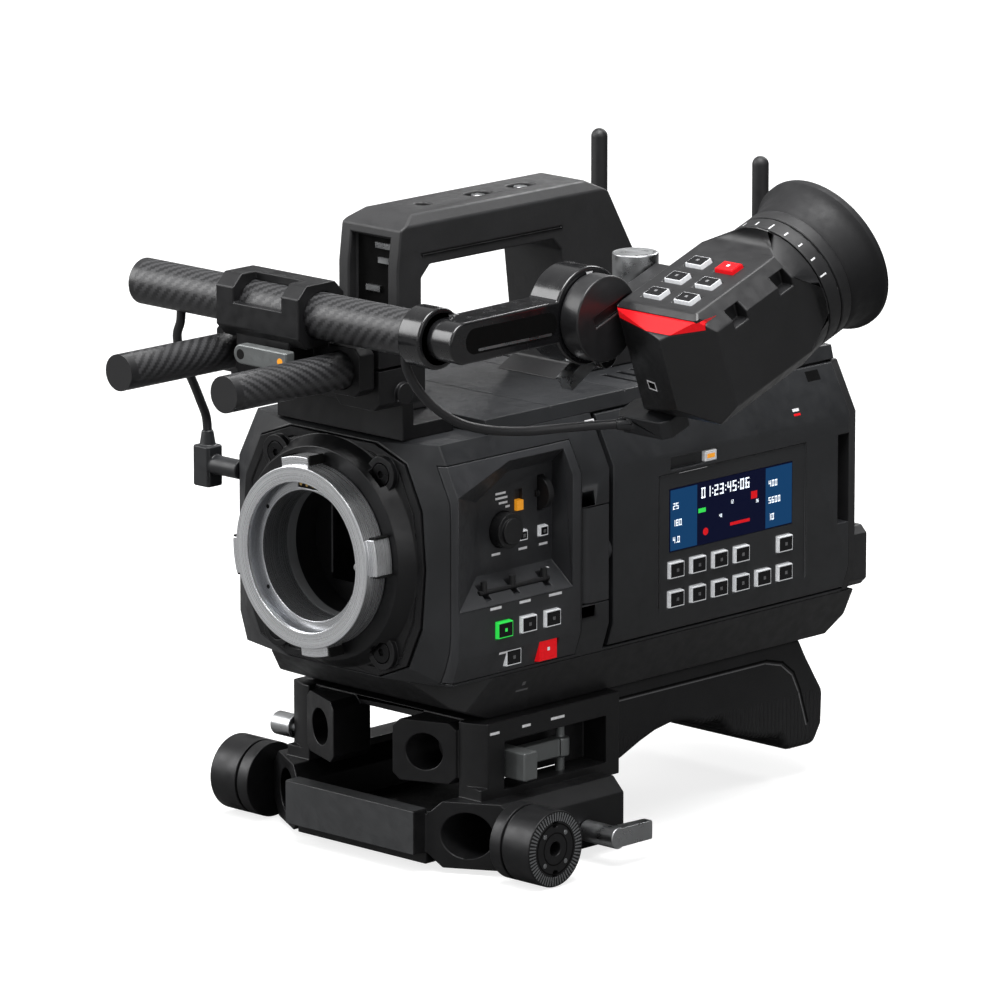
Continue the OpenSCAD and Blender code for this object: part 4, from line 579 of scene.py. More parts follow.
FINISH = {
    "chassis_shell": ("housing", 0.5), "bottom_tray": ("tray", 0.6), "top_cover": ("housing", 0.4),
    "mount_plate": ("bezel", 0.35), "lens_flange": ("flange", 0.25), "contact_pins": ("gold", 0),
    "sensor_module": ("bezel", 0), "sensor_glass": ("sensor", 0), "main_board": ("board", 0),
    "cooler_frame": ("fins", 0), "rear_plate": ("tray", 0.5), "control_panel": ("panel", 0.3),
    "top_handle": ("handle", 1.0), "screws": ("screw", 0.2), "evf_rods": ("rods", 0),
    "rod_clamp": ("bridge", 0.5), "base_frame": ("base", 0.6), "hinge_pin": ("steel", 0),
    "lock_ring": ("ring", 0.35),
    "fan_rotor": ("black", 0), "monitor_hinge": ("panel", 0.4), "monitor_door": ("housing", 0.5),
    "status_screen": ("navy", 0), "touch_screen": ("touch", 0), "menu_dial": ("black", 0.3),
    "shelf_toggles": ("black", 0.2), "thumb_wheel": ("black", 0.3), "evf_bridge": ("bridge", 0.6),
    "tube_lever": ("grey", 0.7), "cross_tube": ("tube", 0), "cable_core": ("cable", 0),
    "evf_arm": ("gloss", 1.0), "arm_lever": ("silver", 0.5), "top_knob": ("silver", 0.7),
    "evf_body": ("evf", 0.8), "evf_tally": ("red", 0.15),
    "diopter_ring": ("grip", 0.5), "eyecup": ("rubber", 0.5), "eyepiece_lens": ("eyeglass", 0.2),
    "antenna_left": ("black", 0.3), "antenna_right": ("black", 0.3),
    "base_lever": ("grey", 0.8), "clamp_lever": ("silver", 0.6), "clamp_knob": ("silver", 0.5),
    "rosettes": ("base", 0.4), "power_switch": ("amber", 0.2), "door_slider": ("mark", 0.3),
}


def finish_nodes():
    for name, (look, bevel) in FINISH.items():
        painted(name, LOOK[look])
        if bevel:
            dressed(name, bevel, LOOK[look])


# Keys: a lit body with a cap that leaves a rim of light along its sides

CAP = 0.35
BODY_TAPER = 0.3
CAP_TAPER = 0.25
CAP_RIM = 0.3
CAP_BEVEL = 0.12
GLYPH_HALF = 0.7
GLYPH_SINK = 0.1
GLYPH_RISE = 0.02


def add_frustum(bm, low, high, axis, taper):
    """A box that narrows towards its high end along an axis."""
    verts = add_box(bm, low, high)
    i = "XYZ".index(axis)
    middle = [(a + b) / 2 * MM for a, b in zip(low, high)]
    for v in verts:
        if v.co[i] > middle[i]:
            for k in (k for k in range(3) if k != i):
                v.co[k] += math.copysign(taper * MM, middle[k] - v.co[k])


def key_set(name, axis="X", place=None, light="white", cap="cap", glyph="dim"):
    """The keys of a CAD node, which face along an axis of the frame that place gives."""
    i = "XYZ".index(axis)
    bodies, caps, glyphs = bmesh.new(), bmesh.new(), bmesh.new()
    for low, high in islands(name, place):
        body_high = list(high)
        body_high[i] = high[i] - CAP
        add_frustum(bodies, low, body_high, axis, BODY_TAPER)
        cap_low = [v + BODY_TAPER + CAP_RIM for v in low]
        cap_high = [v - BODY_TAPER - CAP_RIM for v in high]
        cap_low[i], cap_high[i] = high[i] - CAP, high[i]
        add_frustum(caps, cap_low, cap_high, axis, CAP_TAPER)
        glyph_low = [(u + v) / 2 - GLYPH_HALF for u, v in zip(low, high)]
        glyph_high = [(u + v) / 2 + GLYPH_HALF for u, v in zip(low, high)]
        glyph_low[i], glyph_high[i] = high[i] - GLYPH_SINK, high[i] + GLYPH_RISE
        add_box(glyphs, glyph_low, glyph_high)
    body = BODY_OF[name]
    stand_for(finished(name + "_light", bodies, LOOK[light], body, place=place), name)
    finished(name + "_caps", caps, LOOK[cap], body, bevel_mm=CAP_BEVEL, place=place)
    finished(name + "_glyphs", glyphs, LOOK[glyph], body, place=place)


def make_keys():
    for name in ("white_keys", "low_key"):
        key_set(name)
    key_set("green_key", light="green", glyph="green")
    key_set("record_button", light="red", cap="red", glyph="white")
    for name in ("door_keys_upper", "door_keys_lower"):
        key_set(name)
    key_set("evf_keys", "Z", EVF)
    key_set("evf_record_key", "Z", EVF, light="red", cap="red", glyph="white")


# Shoulder pad: foam with rounded edges

PAD_EDGE = 3.0
PAD_SEGMENTS = 4


def make_pad():
    pad = add_object("foam_pad", clean_copy("shoulder_pad"), LOOK["pad"])
    soft_edges(pad, PAD_EDGE, PAD_SEGMENTS)
    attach(pad, "camera")
    stand_for(pad, "shoulder_pad")


# Marks, seams and small fittings, laid on the surfaces that the frame gives. Sizes are in millimetres.

TREES = {}
FAR = 200
FROM_RIGHT = (-1, 0, 0)
FROM_FRONT = (0, 1, 0)
FROM_ABOVE = (0, 0, -1)
ONTO_BEVEL = (-0.7071, 0, -0.7071)
PLATE_T = 0.06
LINE_T = 0.05
SINK = 0.03
PAINT_SINK = 0.02
PAINT_RISE = 0.05
NEXT_LAYER = 0.04
STADIUM_SIDES = 24


def hit(name, start, toward):
    """Where a ray, in millimetres, meets a CAD node: the point in millimetres and the surface's direction."""
    if name not in TREES:
        bm = bmesh.new()
        bm.from_mesh(NODES[name].data)
        TREES[name] = BVHTree.FromBMesh(bm)
        bm.free()
    spot, normal, _, _ = TREES[name].ray_cast(mm(*start), Vector(toward))
    if spot is None:
        raise ValueError("no surface of %s from %s" % (name, start))
    return spot / MM, normal


def add_plate(bm, spot, normal, up, width, height, thick=PLATE_T):
    """A thin plate centred on a point of a surface, its height along up."""
    across = Vector(up).cross(normal).normalized()
    rise = normal.cross(across).normalized()
    turn = Matrix((across, rise, normal)).transposed().to_4x4()
    made = add_box(bm, (-width / 2, -height / 2, -SINK), (width / 2, height / 2, thick - SINK))
    bmesh.ops.transform(bm, matrix=Matrix.Translation(mm(*spot)) @ turn, verts=made)


def side_marks(name, body, look, on, marks):
    """Printed bars on the camera's right side: (y, z, length, height), read from +X."""
    bm = bmesh.new()
    for y, z, length, height in marks:
        spot, normal = hit(on, (FAR, y, z), FROM_RIGHT)
        add_plate(bm, spot, normal, (0, 0, 1), length, height)
    flat(name, bm, look, body)


def add_line(bm, spots, normal, width):
    """A narrow strip from point to point on a flat surface."""
    for a, b in zip(spots, spots[1:]):
        a, b = Vector(a), Vector(b)
        add_plate(bm, (a + b) / 2, Vector(normal), b - a, width, (b - a).length + width, LINE_T)


def add_stadium(bm, middle, length, height, thick):
    """A plate with round ends on a face that looks along +X, its length along Y."""
    r = height / 2
    outline = [(math.copysign(length / 2 - r, math.cos(a)) + r * math.cos(a), r * math.sin(a))
               for a in (2 * math.pi * (i + 0.5) / STADIUM_SIDES for i in range(STADIUM_SIDES))]
    low = [bm.verts.new(mm(*middle) + mm(0, y, z)) for y, z in outline]
    high = [bm.verts.new(mm(*middle) + mm(thick, y, z)) for y, z in outline]
    bm.faces.new(low)
    bm.faces.new(high)
    for i in range(len(low)):
        j = (i + 1) % len(low)
        bm.faces.new((low[i], low[j], high[j], high[i]))


# Printed marks: (y, z, length, height)

PANEL_LABELS = [(58.5, 24.4, 6, 0.9), (59, 22.4, 7, 0.9), (60, 20.3, 5, 0.9), (62.6, 18.4, 2.5, 0.9),
                (55.8, -0.5, 5, 1), (71.5, -0.6, 5, 1), (83.5, -0.6, 5, 1),
                (43.4, -18.9, 6.5, 1.1), (60.4, -18.9, 6.5, 1.1), (78.2, -18.9, 7.5, 1.1),
                (48, -38.3, 4.5, 1)]
TRAY_LABELS = [(67, -58.5, 7, 0.9), (67, -55.5, 1.8, 1.8)]
BASE_LABELS = [(50, -73.5, 5.5, 1.1), (68.5, -73.5, 5, 1.1), (87, -73.5, 8, 1.1)]
DOOR_LABELS = [(161, 19.6, 17, 0.5), (226, 34.2, 4, 1.3)]
DOOR_RED_MARK = [(226, 32.4, 4, 1)]
PADDLE_MIN_HEIGHT = 1
PADDLE_MARK = ((-1.5, -1.6, -0.2), (-0.4, -0.5, 0.05))
SLIDER_FRAME = (1.2, 1.3)


def offset(corner, by):
    return [c + d for c, d in zip(corner, by)]


def make_panel_marks():
    side_marks("panel_labels", "camera", "mark", "control_panel", PANEL_LABELS)
    side_marks("tray_labels", "camera", "dim", "bottom_tray", TRAY_LABELS)
    side_marks("base_labels", "camera", "mark", "base_frame", BASE_LABELS)
    toggles = bmesh.new()
    for low, high in islands("shelf_toggles"):
        if high[2] - low[2] > PADDLE_MIN_HEIGHT:
            add_box(toggles, *(offset(high, corner) for corner in PADDLE_MARK))
    flat("toggle_marks", toggles, "mark", BODY_OF["shelf_toggles"])


def make_door_marks():
    side_marks("door_labels", "monitor", "mark", "monitor_door", DOOR_LABELS)
    side_marks("door_red_mark", "monitor", "red", "monitor_door", DOOR_RED_MARK)
    low, high = node_box("door_slider")
    y, z = SLIDER_FRAME
    amber = bmesh.new()
    add_box(amber, (high.x - 0.1, low.y + y, low.z + z), (high.x + NEXT_LAYER, high.y - y, high.z - z))
    flat("slider_mark", amber, "amber", BODY_OF["door_slider"])


# Lens throat: sleeve, light baffle, contact pins' pocket, flange screws and slits beside the ring's tabs

SLEEVE_PROFILE = [(27.05, 13.8), (27.9, 13.8), (27.9, 19), (27.05, 19)]
BAFFLE_R = 27.8
BAFFLE_Y = 31
BAFFLE_T = 0.5
BAFFLE_CHORDS = ((18, 0), (17.5, 90), (18, 180), (17.5, 270))
BAFFLE_STEPS = 12
BAFFLE_EDGES_X = (-18.4, 17.9)
BAFFLE_EDGE = 0.5
BAFFLE_EDGE_Z = 15
# The dark pocket around the pins: its margins, and its depth below the pins' faces
POCKET_X = 1
POCKET_Z = 0.6
POCKET_Y = (0.06, 0.5)
FLANGE_SCREWS = (35, 145, 215, 325)
FLANGE_SCREW_AT = 29.2
FLANGE_SCREW_R = 0.9
TAB_R = (37.3, 41.2)
TAB_HALF = 7.9
TAB_TURN = 8
SLIT_HALF = 0.35
SLIT_ENDS = (3, 0.2)


def make_baffle():
    """Four segments of a disc around the picture window, and the light edges of the upright two."""
    baffle, edges = bmesh.new(), bmesh.new()
    for side, (chord, turn) in enumerate(BAFFLE_CHORDS):
        half = math.acos(chord / BAFFLE_R)
        arc = [math.radians(turn) + half * (k / BAFFLE_STEPS - 1) for k in range(2 * BAFFLE_STEPS + 1)]
        y = BAFFLE_Y + 0.02 * (side % 2)
        rows = [[baffle.verts.new(mm(BAFFLE_R * math.cos(a), y + t, BAFFLE_R * math.sin(a))) for a in arc]
                for t in (0, BAFFLE_T)]
        for row in rows:
            baffle.faces.new(row)
        for i in range(len(arc)):
            j = (i + 1) % len(arc)
            baffle.faces.new((rows[0][i], rows[0][j], rows[1][j], rows[1][i]))
    for x in BAFFLE_EDGES_X:
        add_box(edges, (x, BAFFLE_Y - 0.1, -BAFFLE_EDGE_Z), (x + BAFFLE_EDGE, BAFFLE_Y + 0.4, BAFFLE_EDGE_Z))
    flat("throat_baffle", baffle, "bezel")
    flat("throat_baffle_edges", edges, "dim")


def make_lens_details():
    sleeve = bmesh.new()
    add_lathe(sleeve, SLEEVE_PROFILE, "Y", (0, 0, 0), 96)
    finished("throat_sleeve", sleeve, LOOK["sleeve"], "camera")
    make_baffle()
    low, high = node_box("contact_pins")
    pocket = bmesh.new()
    add_box(pocket, (low.x - POCKET_X, low.y + POCKET_Y[0], low.z - POCKET_Z),
            (high.x + POCKET_X, low.y + POCKET_Y[1], high.z + POCKET_Z))
    flat("pin_pocket", pocket, "hole")
    screws = bmesh.new()
    for a in map(math.radians, FLANGE_SCREWS):
        spot = (FLANGE_SCREW_AT * math.cos(a), -0.06, FLANGE_SCREW_AT * math.sin(a))
        add_disc(screws, "Y", spot, FLANGE_SCREW_R, height=0.2, edge=0.05, sides=20)
    finished("flange_screws", screws, LOOK["screw"], "camera")
    slits = bmesh.new()
    low, high = node_box("lock_ring")
    for quarter in range(4):
        turn = Matrix.Rotation(-math.radians(90 * quarter + TAB_TURN), 4, "Y")
        for z in (-TAB_HALF, TAB_HALF):
            made = add_box(slits, (TAB_R[0], low.y + SLIT_ENDS[0], z - SLIT_HALF),
                           (TAB_R[1], high.y - SLIT_ENDS[1], z + SLIT_HALF))
            bmesh.ops.transform(slits, matrix=turn, verts=made)
    flat("tab_slits", slits, "hole", "lock_ring")


# Viewfinder arm: (y, z) of each mark's middle, with its length and height. The recess is a dark plate of
# painted shade, and the strip along its lower edge a painted highlight
ARM_SPOT = (20, 105.5)
ARM_RECESS_SHADE = ((10, 105.4), 52, 10.5)
ARM_RECESS_HIGHLIGHT = ((12, 101.6), 42, 1.1)
ARM_TRIANGLE = ((PIVOT[1] - 2, 124), (PIVOT[1] + 2, 124), (PIVOT[1], 120.6))


def make_arm_details():
    face = hit("evf_arm", (FAR, *ARM_SPOT), FROM_RIGHT)[0].x
    recess_shade, shine, mark = bmesh.new(), bmesh.new(), bmesh.new()
    # The recess is not cut in the arm: a dark plate stands for it, and its darkness is painted shade
    middle, length, height = ARM_RECESS_SHADE
    add_stadium(recess_shade, (face - PAINT_SINK, *middle), length, height, PLATE_T)
    # A steel strip near the recess's lower edge: a painted highlight
    middle, length, height = ARM_RECESS_HIGHLIGHT
    add_stadium(shine, (face + PAINT_SINK, *middle), length, height, LINE_T)
    flat("arm_recess_shade", recess_shade, "groove", "evf_arm")
    flat("arm_recess_highlight", shine, "steel", "evf_arm")
    mark.faces.new([mark.verts.new(mm(face + PAINT_RISE, y, z)) for y, z in ARM_TRIANGLE])
    flat("arm_triangle", mark, "mark", "evf_arm")


# Handle: the seams of the plate on its top, its screws, the fittings inside its front post, and painted shade
# on that post's inner face
HANDLE_TOP_SPOT = (14, 110)
HANDLE_PLATE_X = 12
HANDLE_PLATE_Y = (88, 112, 140)
SEAM_W = 0.5
HANDLE_SCREWS_FROM = 100
HANDLE_SCREW_RIM = 0.4
POST_SPOT = (0, -50, 100)
# Bright ends of the fittings inside the front post: (low x, high x, z)
POST_BOLTS = ((0.5, 9, 123), (2, 9, 117), (-5, 3, 105), (-3, 3, 74))
POST_BOLT_R = 1.2
# Dark plate on the front post's inner face, from (x, z) to (x, z): painted shade in the post's hollow
POST_SHADE = ((-10.8, 68.3), (10.8, 126.7))


def make_handle_details():
    seams, bolts, post_shade = bmesh.new(), bmesh.new(), bmesh.new()
    top = hit("top_handle", (*HANDLE_TOP_SPOT, FAR), FROM_ABOVE)[0].z
    x, (near, middle, far) = HANDLE_PLATE_X, HANDLE_PLATE_Y
    for line in (((-x, near), (x, near), (x, far), (-x, far), (-x, near)), ((-x, middle), (x, middle))):
        add_line(seams, [(*corner, top) for corner in line], (0, 0, 1), SEAM_W)
    flat("handle_plate_seams", seams, "groove")
    for low, high in islands("screws"):
        if low[2] > HANDLE_SCREWS_FROM:
            spot = (0, (low[1] + high[1]) / 2, high[2] - 0.05)
            radius = (high[1] - low[1]) / 2 - HANDLE_SCREW_RIM
            add_disc(bolts, "Z", spot, radius, height=1.5, edge=0.2, sides=32)
    inner = hit("top_handle", POST_SPOT, FROM_FRONT)[0].y
    for x0, x1, z in POST_BOLTS:
        add_box(bolts, (x0, inner - POST_BOLT_R, z - POST_BOLT_R), (x1, inner, z + POST_BOLT_R))
    (x0, z0), (x1, z1) = POST_SHADE
    # Painted shade: a dark plate that darkens the inside of the front post
    add_box(post_shade, (x0, inner - PAINT_RISE, z0), (x1, inner + PAINT_SINK, z1))
    flat("handle_post_shade", post_shade, "groove")
    finished("handle_bolts", bolts, LOOK["silver"], "camera")


# Base: radii of the rosettes' marks, the paint of the front bar, and the plate on the channel's floor
ROSETTE_LINES = ((6.4, 6.9), (10.2, 10.8))
ROSETTE_TEETH = 60
TOOTH_R = (11.6, 15.2)
TOOTH_HALF = 0.32
ROSETTE_SCREWS = 4
ROSETTE_SCREW_AT = 8.5
ROSETTE_SCREW_R = 1.0
BAR_SPOT = (0, -80, -113)
BAR_X = 36.8
BAR_Z = (-122.6, -104.9)
BAR_Y = (0.4, 7.6)
BAR_ABOVE = (4, -90)
CHANNEL_SPOT = (10, 45, -85)
CHANNEL_PLATE = ((-14, 31), (34, 66))


def make_rosette_details():
    lines, teeth, screws = bmesh.new(), bmesh.new(), bmesh.new()
    for low, high in islands("rosettes"):
        right = high[0] > 0
        face = high[0] if right else low[0]
        y, z = (low[1] + high[1]) / 2, (low[2] + high[2]) / 2
        for inner, outer in ROSETTE_LINES:
            profile = [(inner, -LINE_T), (outer, -LINE_T), (outer, LINE_T), (inner, LINE_T)]
            add_lathe(lines, profile, "X", (face, y, z), 64)
        for k in range(ROSETTE_TEETH):
            made = add_box(teeth, (-LINE_T, TOOTH_R[0], -TOOTH_HALF), (LINE_T, TOOTH_R[1], TOOTH_HALF))
            turn = Matrix.Rotation(2 * math.pi * k / ROSETTE_TEETH, 4, "X")
            bmesh.ops.transform(teeth, matrix=Matrix.Translation(mm(face, y, z)) @ turn, verts=made)
        for k in range(ROSETTE_SCREWS):
            a = 2 * math.pi * (k + 0.5) / ROSETTE_SCREWS
            spot = (face - (0.15 if right else 0.05), y + ROSETTE_SCREW_AT * math.cos(a),
                    z + ROSETTE_SCREW_AT * math.sin(a))
            add_disc(screws, "X", spot, ROSETTE_SCREW_R, height=0.2, edge=0.05, sides=20)
    flat("rosette_lines", lines, "groove")
    flat("rosette_teeth", teeth, "steel")
    finished("rosette_screws", screws, LOOK["steel"], "camera")


def make_base_details():
    make_rosette_details()
    bar, floor = bmesh.new(), bmesh.new()
    front = hit("base_frame", BAR_SPOT, FROM_FRONT)[0].y
    add_box(bar, (-BAR_X, front - PAINT_RISE, BAR_Z[0]), (BAR_X, front + PAINT_SINK, BAR_Z[1]))
    top = hit("base_frame", (0, front + BAR_ABOVE[0], BAR_ABOVE[1]), FROM_ABOVE)[0].z
    add_box(bar, (-BAR_X, front + BAR_Y[0], top - PAINT_SINK), (BAR_X, front + BAR_Y[1], top + PAINT_RISE))
    flat("base_bar_paint", bar, "bar")
    bottom = hit("base_frame", CHANNEL_SPOT, FROM_ABOVE)[0].z
    add_box(floor, (*CHANNEL_PLATE[0], bottom - PAINT_SINK), (*CHANNEL_PLATE[1], bottom + PAINT_RISE))
    flat("base_floor_plate", floor, "silver")


# Pad: the (y, z) points of the seam on its right flank, its width, and the rim of light below it
PAD_SPOT = (180, -80)
PAD_SEAM = ((131, -76), (226, -76), (236, -78.5), (243, -84), (247, -92), (252, -107))
PAD_SEAM_W = 0.9
PAD_RIM_W = 0.6
PAD_RIM_BY = (-1, -1.2)


def make_pad_details():
    face = hit("shoulder_pad", (FAR, *PAD_SPOT), FROM_RIGHT)[0].x
    seam, rim = bmesh.new(), bmesh.new()
    add_line(seam, [(face, *spot) for spot in PAD_SEAM], (1, 0, 0), PAD_SEAM_W)
    flat("pad_seam", seam, "groove")
    add_line(rim, [(face, *offset(spot, PAD_RIM_BY)) for spot in PAD_SEAM], (1, 0, 0), PAD_RIM_W)
    flat("pad_seam_rim", rim, "dim")


# Viewfinder, in its own frame: ticks around the diopter ring, and a socket on its front
DIOPTER_AXIS = (140, -19)
DIOPTER_Y = 70
RAY_START_R = 60
TICK_ANGLES = range(20, 141, 15)
TICK_W = 0.7
TICK_LENGTHS = (3.6, 2.4, 2.4, 2.4)
SOCKET_SPOT = (130, -60, -27.6)
SOCKET_RIM = (6.5, 4)
SOCKET_HOLE = (5.2, 2.7)


def make_finder_details():
    back = EVF.to_3x3() @ Vector((0, 1, 0))
    ticks, rim, socket = bmesh.new(), bmesh.new(), bmesh.new()
    x, z = DIOPTER_AXIS
    centre = EVF @ mm(x, DIOPTER_Y, z) / MM
    for k, degrees in enumerate(TICK_ANGLES):
        a = math.radians(degrees)
        start = EVF @ mm(x + RAY_START_R * math.cos(a), DIOPTER_Y, z + RAY_START_R * math.sin(a)) / MM
        spot, normal = hit("diopter_ring", start, (centre - start).normalized())
        add_plate(ticks, spot, normal, back, TICK_W, TICK_LENGTHS[k % 4])
    flat("diopter_ticks", ticks, "mark", BODY_OF["diopter_ring"])
    spot, normal = hit("evf_body", EVF @ mm(*SOCKET_SPOT) / MM, back)
    add_plate(rim, spot, normal, (0, 0, 1), *SOCKET_RIM)
    add_plate(socket, spot + normal * NEXT_LAYER, normal, (0, 0, 1), *SOCKET_HOLE)
    flat("finder_socket_rim", rim, "mark", "viewfinder")
    flat("finder_socket", socket, "groove", "viewfinder")


# Sloping upper edges: where each ray starts, and the width and height of each plate
BEVEL_KEY_SPOTS = ((105, 99, 97), (105, 108, 97))
BEVEL_KEY_RIM = (3.4, 5.4)
BEVEL_KEY = (2.2, 3.8)
DOOR_PORT_SPOT = (105, 243, 96)
DOOR_PORT = (4.5, 8)


def make_bevel_details():
    """Two small keys and a port on the sloping upper edges of the housing and the door."""
    rims, keys, port = bmesh.new(), bmesh.new(), bmesh.new()
    for start in BEVEL_KEY_SPOTS:
        spot, normal = hit("chassis_shell", start, ONTO_BEVEL)
        add_plate(rims, spot, normal, (0, 1, 0), *BEVEL_KEY_RIM)
        add_plate(keys, spot + normal * NEXT_LAYER, normal, (0, 1, 0), *BEVEL_KEY)
    flat("bevel_key_rims", rims, "mark")
    flat("bevel_keys", keys, "cap")
    spot, normal = hit("monitor_door", DOOR_PORT_SPOT, ONTO_BEVEL)
    add_plate(port, spot, normal, (0, 1, 0), *DOOR_PORT)
    flat("door_port", port, "groove", "monitor")


LEVER_DOT_R = 1.5
LEVER_DOT_IN = 3.5
LEVER_HOLE_R = 2.1
LEVER_HOLE_IN = 4


def make_lever_details():
    amber, hole = bmesh.new(), bmesh.new()
    low, high = node_box("tube_lever")
    middle = (low.z + high.z) / 2
    face = hit("tube_lever", ((low.x + high.x) / 2, -FAR, middle), FROM_FRONT)[0].y
    spot = (high.x - LEVER_DOT_IN, face - 0.08, middle)
    add_disc(amber, "Y", spot, LEVER_DOT_R, height=0.1, edge=0.02, sides=24)
    spot = (low.x + LEVER_HOLE_IN, face - 0.05, middle)
    add_disc(hole, "Y", spot, LEVER_HOLE_R, height=0.07, edge=0.02, sides=24)
    flat("lever_dot", amber, "amber", BODY_OF["tube_lever"])
    flat("lever_hole", hole, "hole", BODY_OF["tube_lever"])


# Status screen: plain numbers on a dark field between two blue columns

SEGMENTS = {"0": "abcdef", "1": "bc", "2": "abged", "3": "abgcd", "4": "fgbc", "5": "afgcd", "6": "afgedc",
            "7": "abc", "8": "abcdefg", "9": "abcdfg"}
DIGIT_W = 0.5
DIGIT_STROKE = 0.14
DIGIT_STEP = 1.45
SIGN_STEP = 2.2
SIGN_HEIGHTS = {":": (-0.2, 0.2), ".": (-0.45,)}
DIGIT_T = 0.03
MARK_T = 0.04
COLUMN_SHARE = 0.22
COLUMN_EDGE = (0.3, 0.4)
# Rows of the columns' numbers: the first one's middle from the top, their pitch, inset and height, as shares
ROW_TOP = 0.28
ROW_PITCH = 0.27
ROW_INSET = 0.025
ROW_HEIGHT = 0.1
LAST_COLUMN_UP = 0.2
# Numbers of the middle field: text, place from the left and from the top, and height, as shares
FIELD_NUMBERS = (("01:23:45:06", 0.255, 0.17, 0.17), ("12", 0.49, 0.42, 0.06), ("48", 0.4, 0.6, 0.05),
                 ("36", 0.7, 0.5, 0.05))
COLUMN_NUMBERS = (("25", "400"), ("180", "5600"), ("4.0", "10"))
# Marks: their first and last share of the width, then of the height
RED_BARS = ((0.49, 0.65, 0.2, 0.25), (0.66, 0.71, 0.55, 0.67))
GREEN_BARS = ((0.23, 0.29, 0.52, 0.59),)
# Red disc: its place from the low corner, and its radius as a share of the height
RED_DISC = ((0.29, 0.2), 0.06)


def add_digits(bm, text, y, z, height, x):
    """Seven-segment numbers on a face that looks along +X, from y towards +Y, with their middle at z."""
    w, s = height * DIGIT_W, height * DIGIT_STROKE
    for sign in text:
        if sign in SIGN_HEIGHTS:
            for h in SIGN_HEIGHTS[sign]:
                add_box(bm, (x, y, z + h * height - s / 2), (x + DIGIT_T, y + s, z + h * height + s / 2))
            y += s * SIGN_STEP
            continue
        top, mid, low, left, right = z + height / 2, z, z - height / 2, y, y + w
        bars = {"a": (left, top - s, right, top), "g": (left, mid - s / 2, right, mid + s / 2),
                "d": (left, low, right, low + s), "f": (left, mid, left + s, top),
                "b": (right - s, mid, right, top), "e": (left, low, left + s, mid),
                "c": (right - s, low, right, mid)}
        for k in SEGMENTS[sign]:
            y0, z0, y1, z1 = bars[k]
            add_box(bm, (x, y0, z0), (x + DIGIT_T, y1, z1))
        y += w * DIGIT_STEP


def make_screen():
    low, high = node_box("status_screen")
    x, w, h = high.x, high.y - low.y, high.z - low.z
    column = w * COLUMN_SHARE
    blue, digits, red, green = bmesh.new(), bmesh.new(), bmesh.new(), bmesh.new()
    edge_y, edge_z = COLUMN_EDGE
    for y in (low.y + edge_y, high.y - column):
        add_box(blue, (x - 0.2, y, low.z + edge_z), (x + 0.02, y + column - edge_y, high.z - edge_z))
    for text, right, down, size in FIELD_NUMBERS:
        add_digits(digits, text, low.y + w * right, high.z - h * down, h * size, x + 0.02)
    for k, (first, last) in enumerate(COLUMN_NUMBERS):
        z, size = high.z - h * (ROW_TOP + ROW_PITCH * k), h * ROW_HEIGHT
        add_digits(digits, first, low.y + w * ROW_INSET, z, size, x + 0.03)
        add_digits(digits, last, high.y - column + w * ROW_INSET, z + LAST_COLUMN_UP, size, x + 0.03)
    for bm, bars in ((red, RED_BARS), (green, GREEN_BARS)):
        for y0, y1, z0, z1 in bars:
            add_box(bm, (x, low.y + w * y0, low.z + h * z0), (x + MARK_T, low.y + w * y1, low.z + h * z1))
    (right, up), radius = RED_DISC
    add_disc(red, "X", (x, low.y + w * right, low.z + h * up), h * radius, MARK_T, edge=0.01, sides=24)
    finished("screen_columns", blue, LOOK["blue"], "monitor")
    flat("screen_numbers", digits, "digit", "monitor")
    finished("screen_red_marks", red, LOOK["red"], "monitor")
    finished("screen_green_mark", green, LOOK["green"], "monitor")


# Floor, backdrop, light: sizes in metres

FLOOR_Z = cad_low.z
FLOOR_GAP = 0.0005
FLOOR_X = 7
FLOOR_PROFILE = [(-6, 0), (4, 0), (5, 0.2), (5.6, 0.8), (5.8, 1.6), (5.8, 5)]
FLOOR_SEEN = (0.4, 0.4, 0.4)
FLOOR_UNSEEN = (0.12, 0.12, 0.12)
FLOOR_GLOW = 0.78
WORLD_GLOSSY = 0.42
WORLD_DIFFUSE = 0.22
# Softboxes: name, place, aim, width and height, watts
LIGHTS = (
    ("top_softbox", (0.3, -0.2, 1.9), (0.05, 0.1, 0), (1.5, 1.5), 78),
    ("left_softbox", (-1.9, -1.3, 1.1), (0, 0.1, 0), (1.2, 1.6), 34),
    ("front_strip", (-0.9, -2.4, 0.5), (0, 0, 0), (0.35, 1.6), 9),
    ("right_softbox", (2.2, -0.4, 0.9), (0.05, 0.1, 0.02), (1.0, 1.4), 7),
    ("back_strip", (-0.6, 2.0, 1.2), (0, 0.1, 0.05), (1.6, 0.5), 20),
)


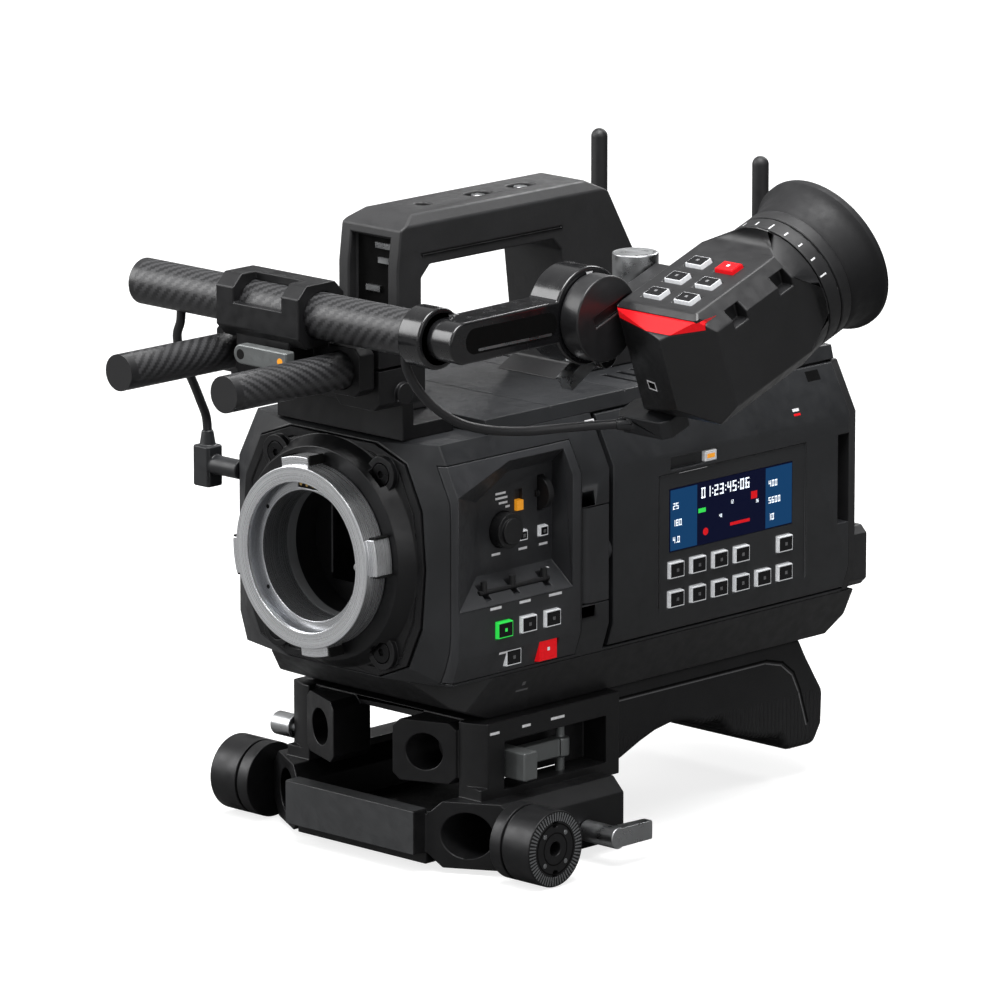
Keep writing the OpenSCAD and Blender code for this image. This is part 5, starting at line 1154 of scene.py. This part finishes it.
def make_stage():
    """A pale sweep that looks white to the camera and throws little light back at the object."""
    material, tree, shader = new_material("floor_white")
    seen = tree.nodes.new("ShaderNodeLightPath").outputs["Is Camera Ray"]
    tone = math_node(tree, "MULTIPLY", seen, ramp(tree, noise(tree, place_in(tree), 400, 2), 0.97, 1))
    two_colours(tree, tone, FLOOR_UNSEEN, FLOOR_SEEN, shader)
    set_inputs(shader, Roughness=0.9, Specular_IOR_Level=0.1, Emission_Color=(1, 1, 1, 1))
    link(tree, math_node(tree, "MULTIPLY", seen, FLOOR_GLOW), shader.inputs["Emission Strength"])
    bm = bmesh.new()
    rows = [[bm.verts.new((x, y, FLOOR_Z - FLOOR_GAP + z)) for x in (-FLOOR_X, FLOOR_X)]
            for y, z in FLOOR_PROFILE]
    for a, b in zip(rows, rows[1:]):
        bm.faces.new((a[0], a[1], b[1], b[0]))
    floor = finished("floor", bm, material, None, smooth=60)


def area_light(name, place, aim, size, watts):
    data = bpy.data.lights.new(name, "AREA")
    data.shape, data.size, data.size_y = "RECTANGLE", size[0], size[1]
    data.energy = watts
    lamp = bpy.data.objects.new(name, data)
    lamp.location = place
    lamp.rotation_euler = (Vector(aim) - Vector(place)).to_track_quat("-Z", "Y").to_euler()
    bpy.context.collection.objects.link(lamp)


def make_light():
    world = bpy.data.worlds.new("studio")
    world.use_nodes = True
    bpy.context.scene.world = world
    tree = world.node_tree
    back = tree.nodes["Background"]
    path = tree.nodes.new("ShaderNodeLightPath").outputs
    seen = math_node(tree, "MAXIMUM", path["Is Camera Ray"], path["Is Transmission Ray"])
    glossy = math_node(tree, "MULTIPLY", path["Is Glossy Ray"], WORLD_GLOSSY)
    strength = math_node(tree, "MAXIMUM", math_node(tree, "MAXIMUM", seen, glossy), WORLD_DIFFUSE)
    link(tree, strength, back.inputs["Strength"])
    set_inputs(back, Color=(1, 1, 1, 1))
    for light in LIGHTS:
        area_light(*light)


make_camera()
make_cables()
finish_nodes()
make_keys()
make_pad()
make_panel_marks()
make_door_marks()
make_lens_details()
make_arm_details()
make_handle_details()
make_base_details()
make_pad_details()
make_finder_details()
make_bevel_details()
make_lever_details()
make_screen()
make_stage()
make_light()
bpy.context.scene.view_settings.view_transform = "Standard"
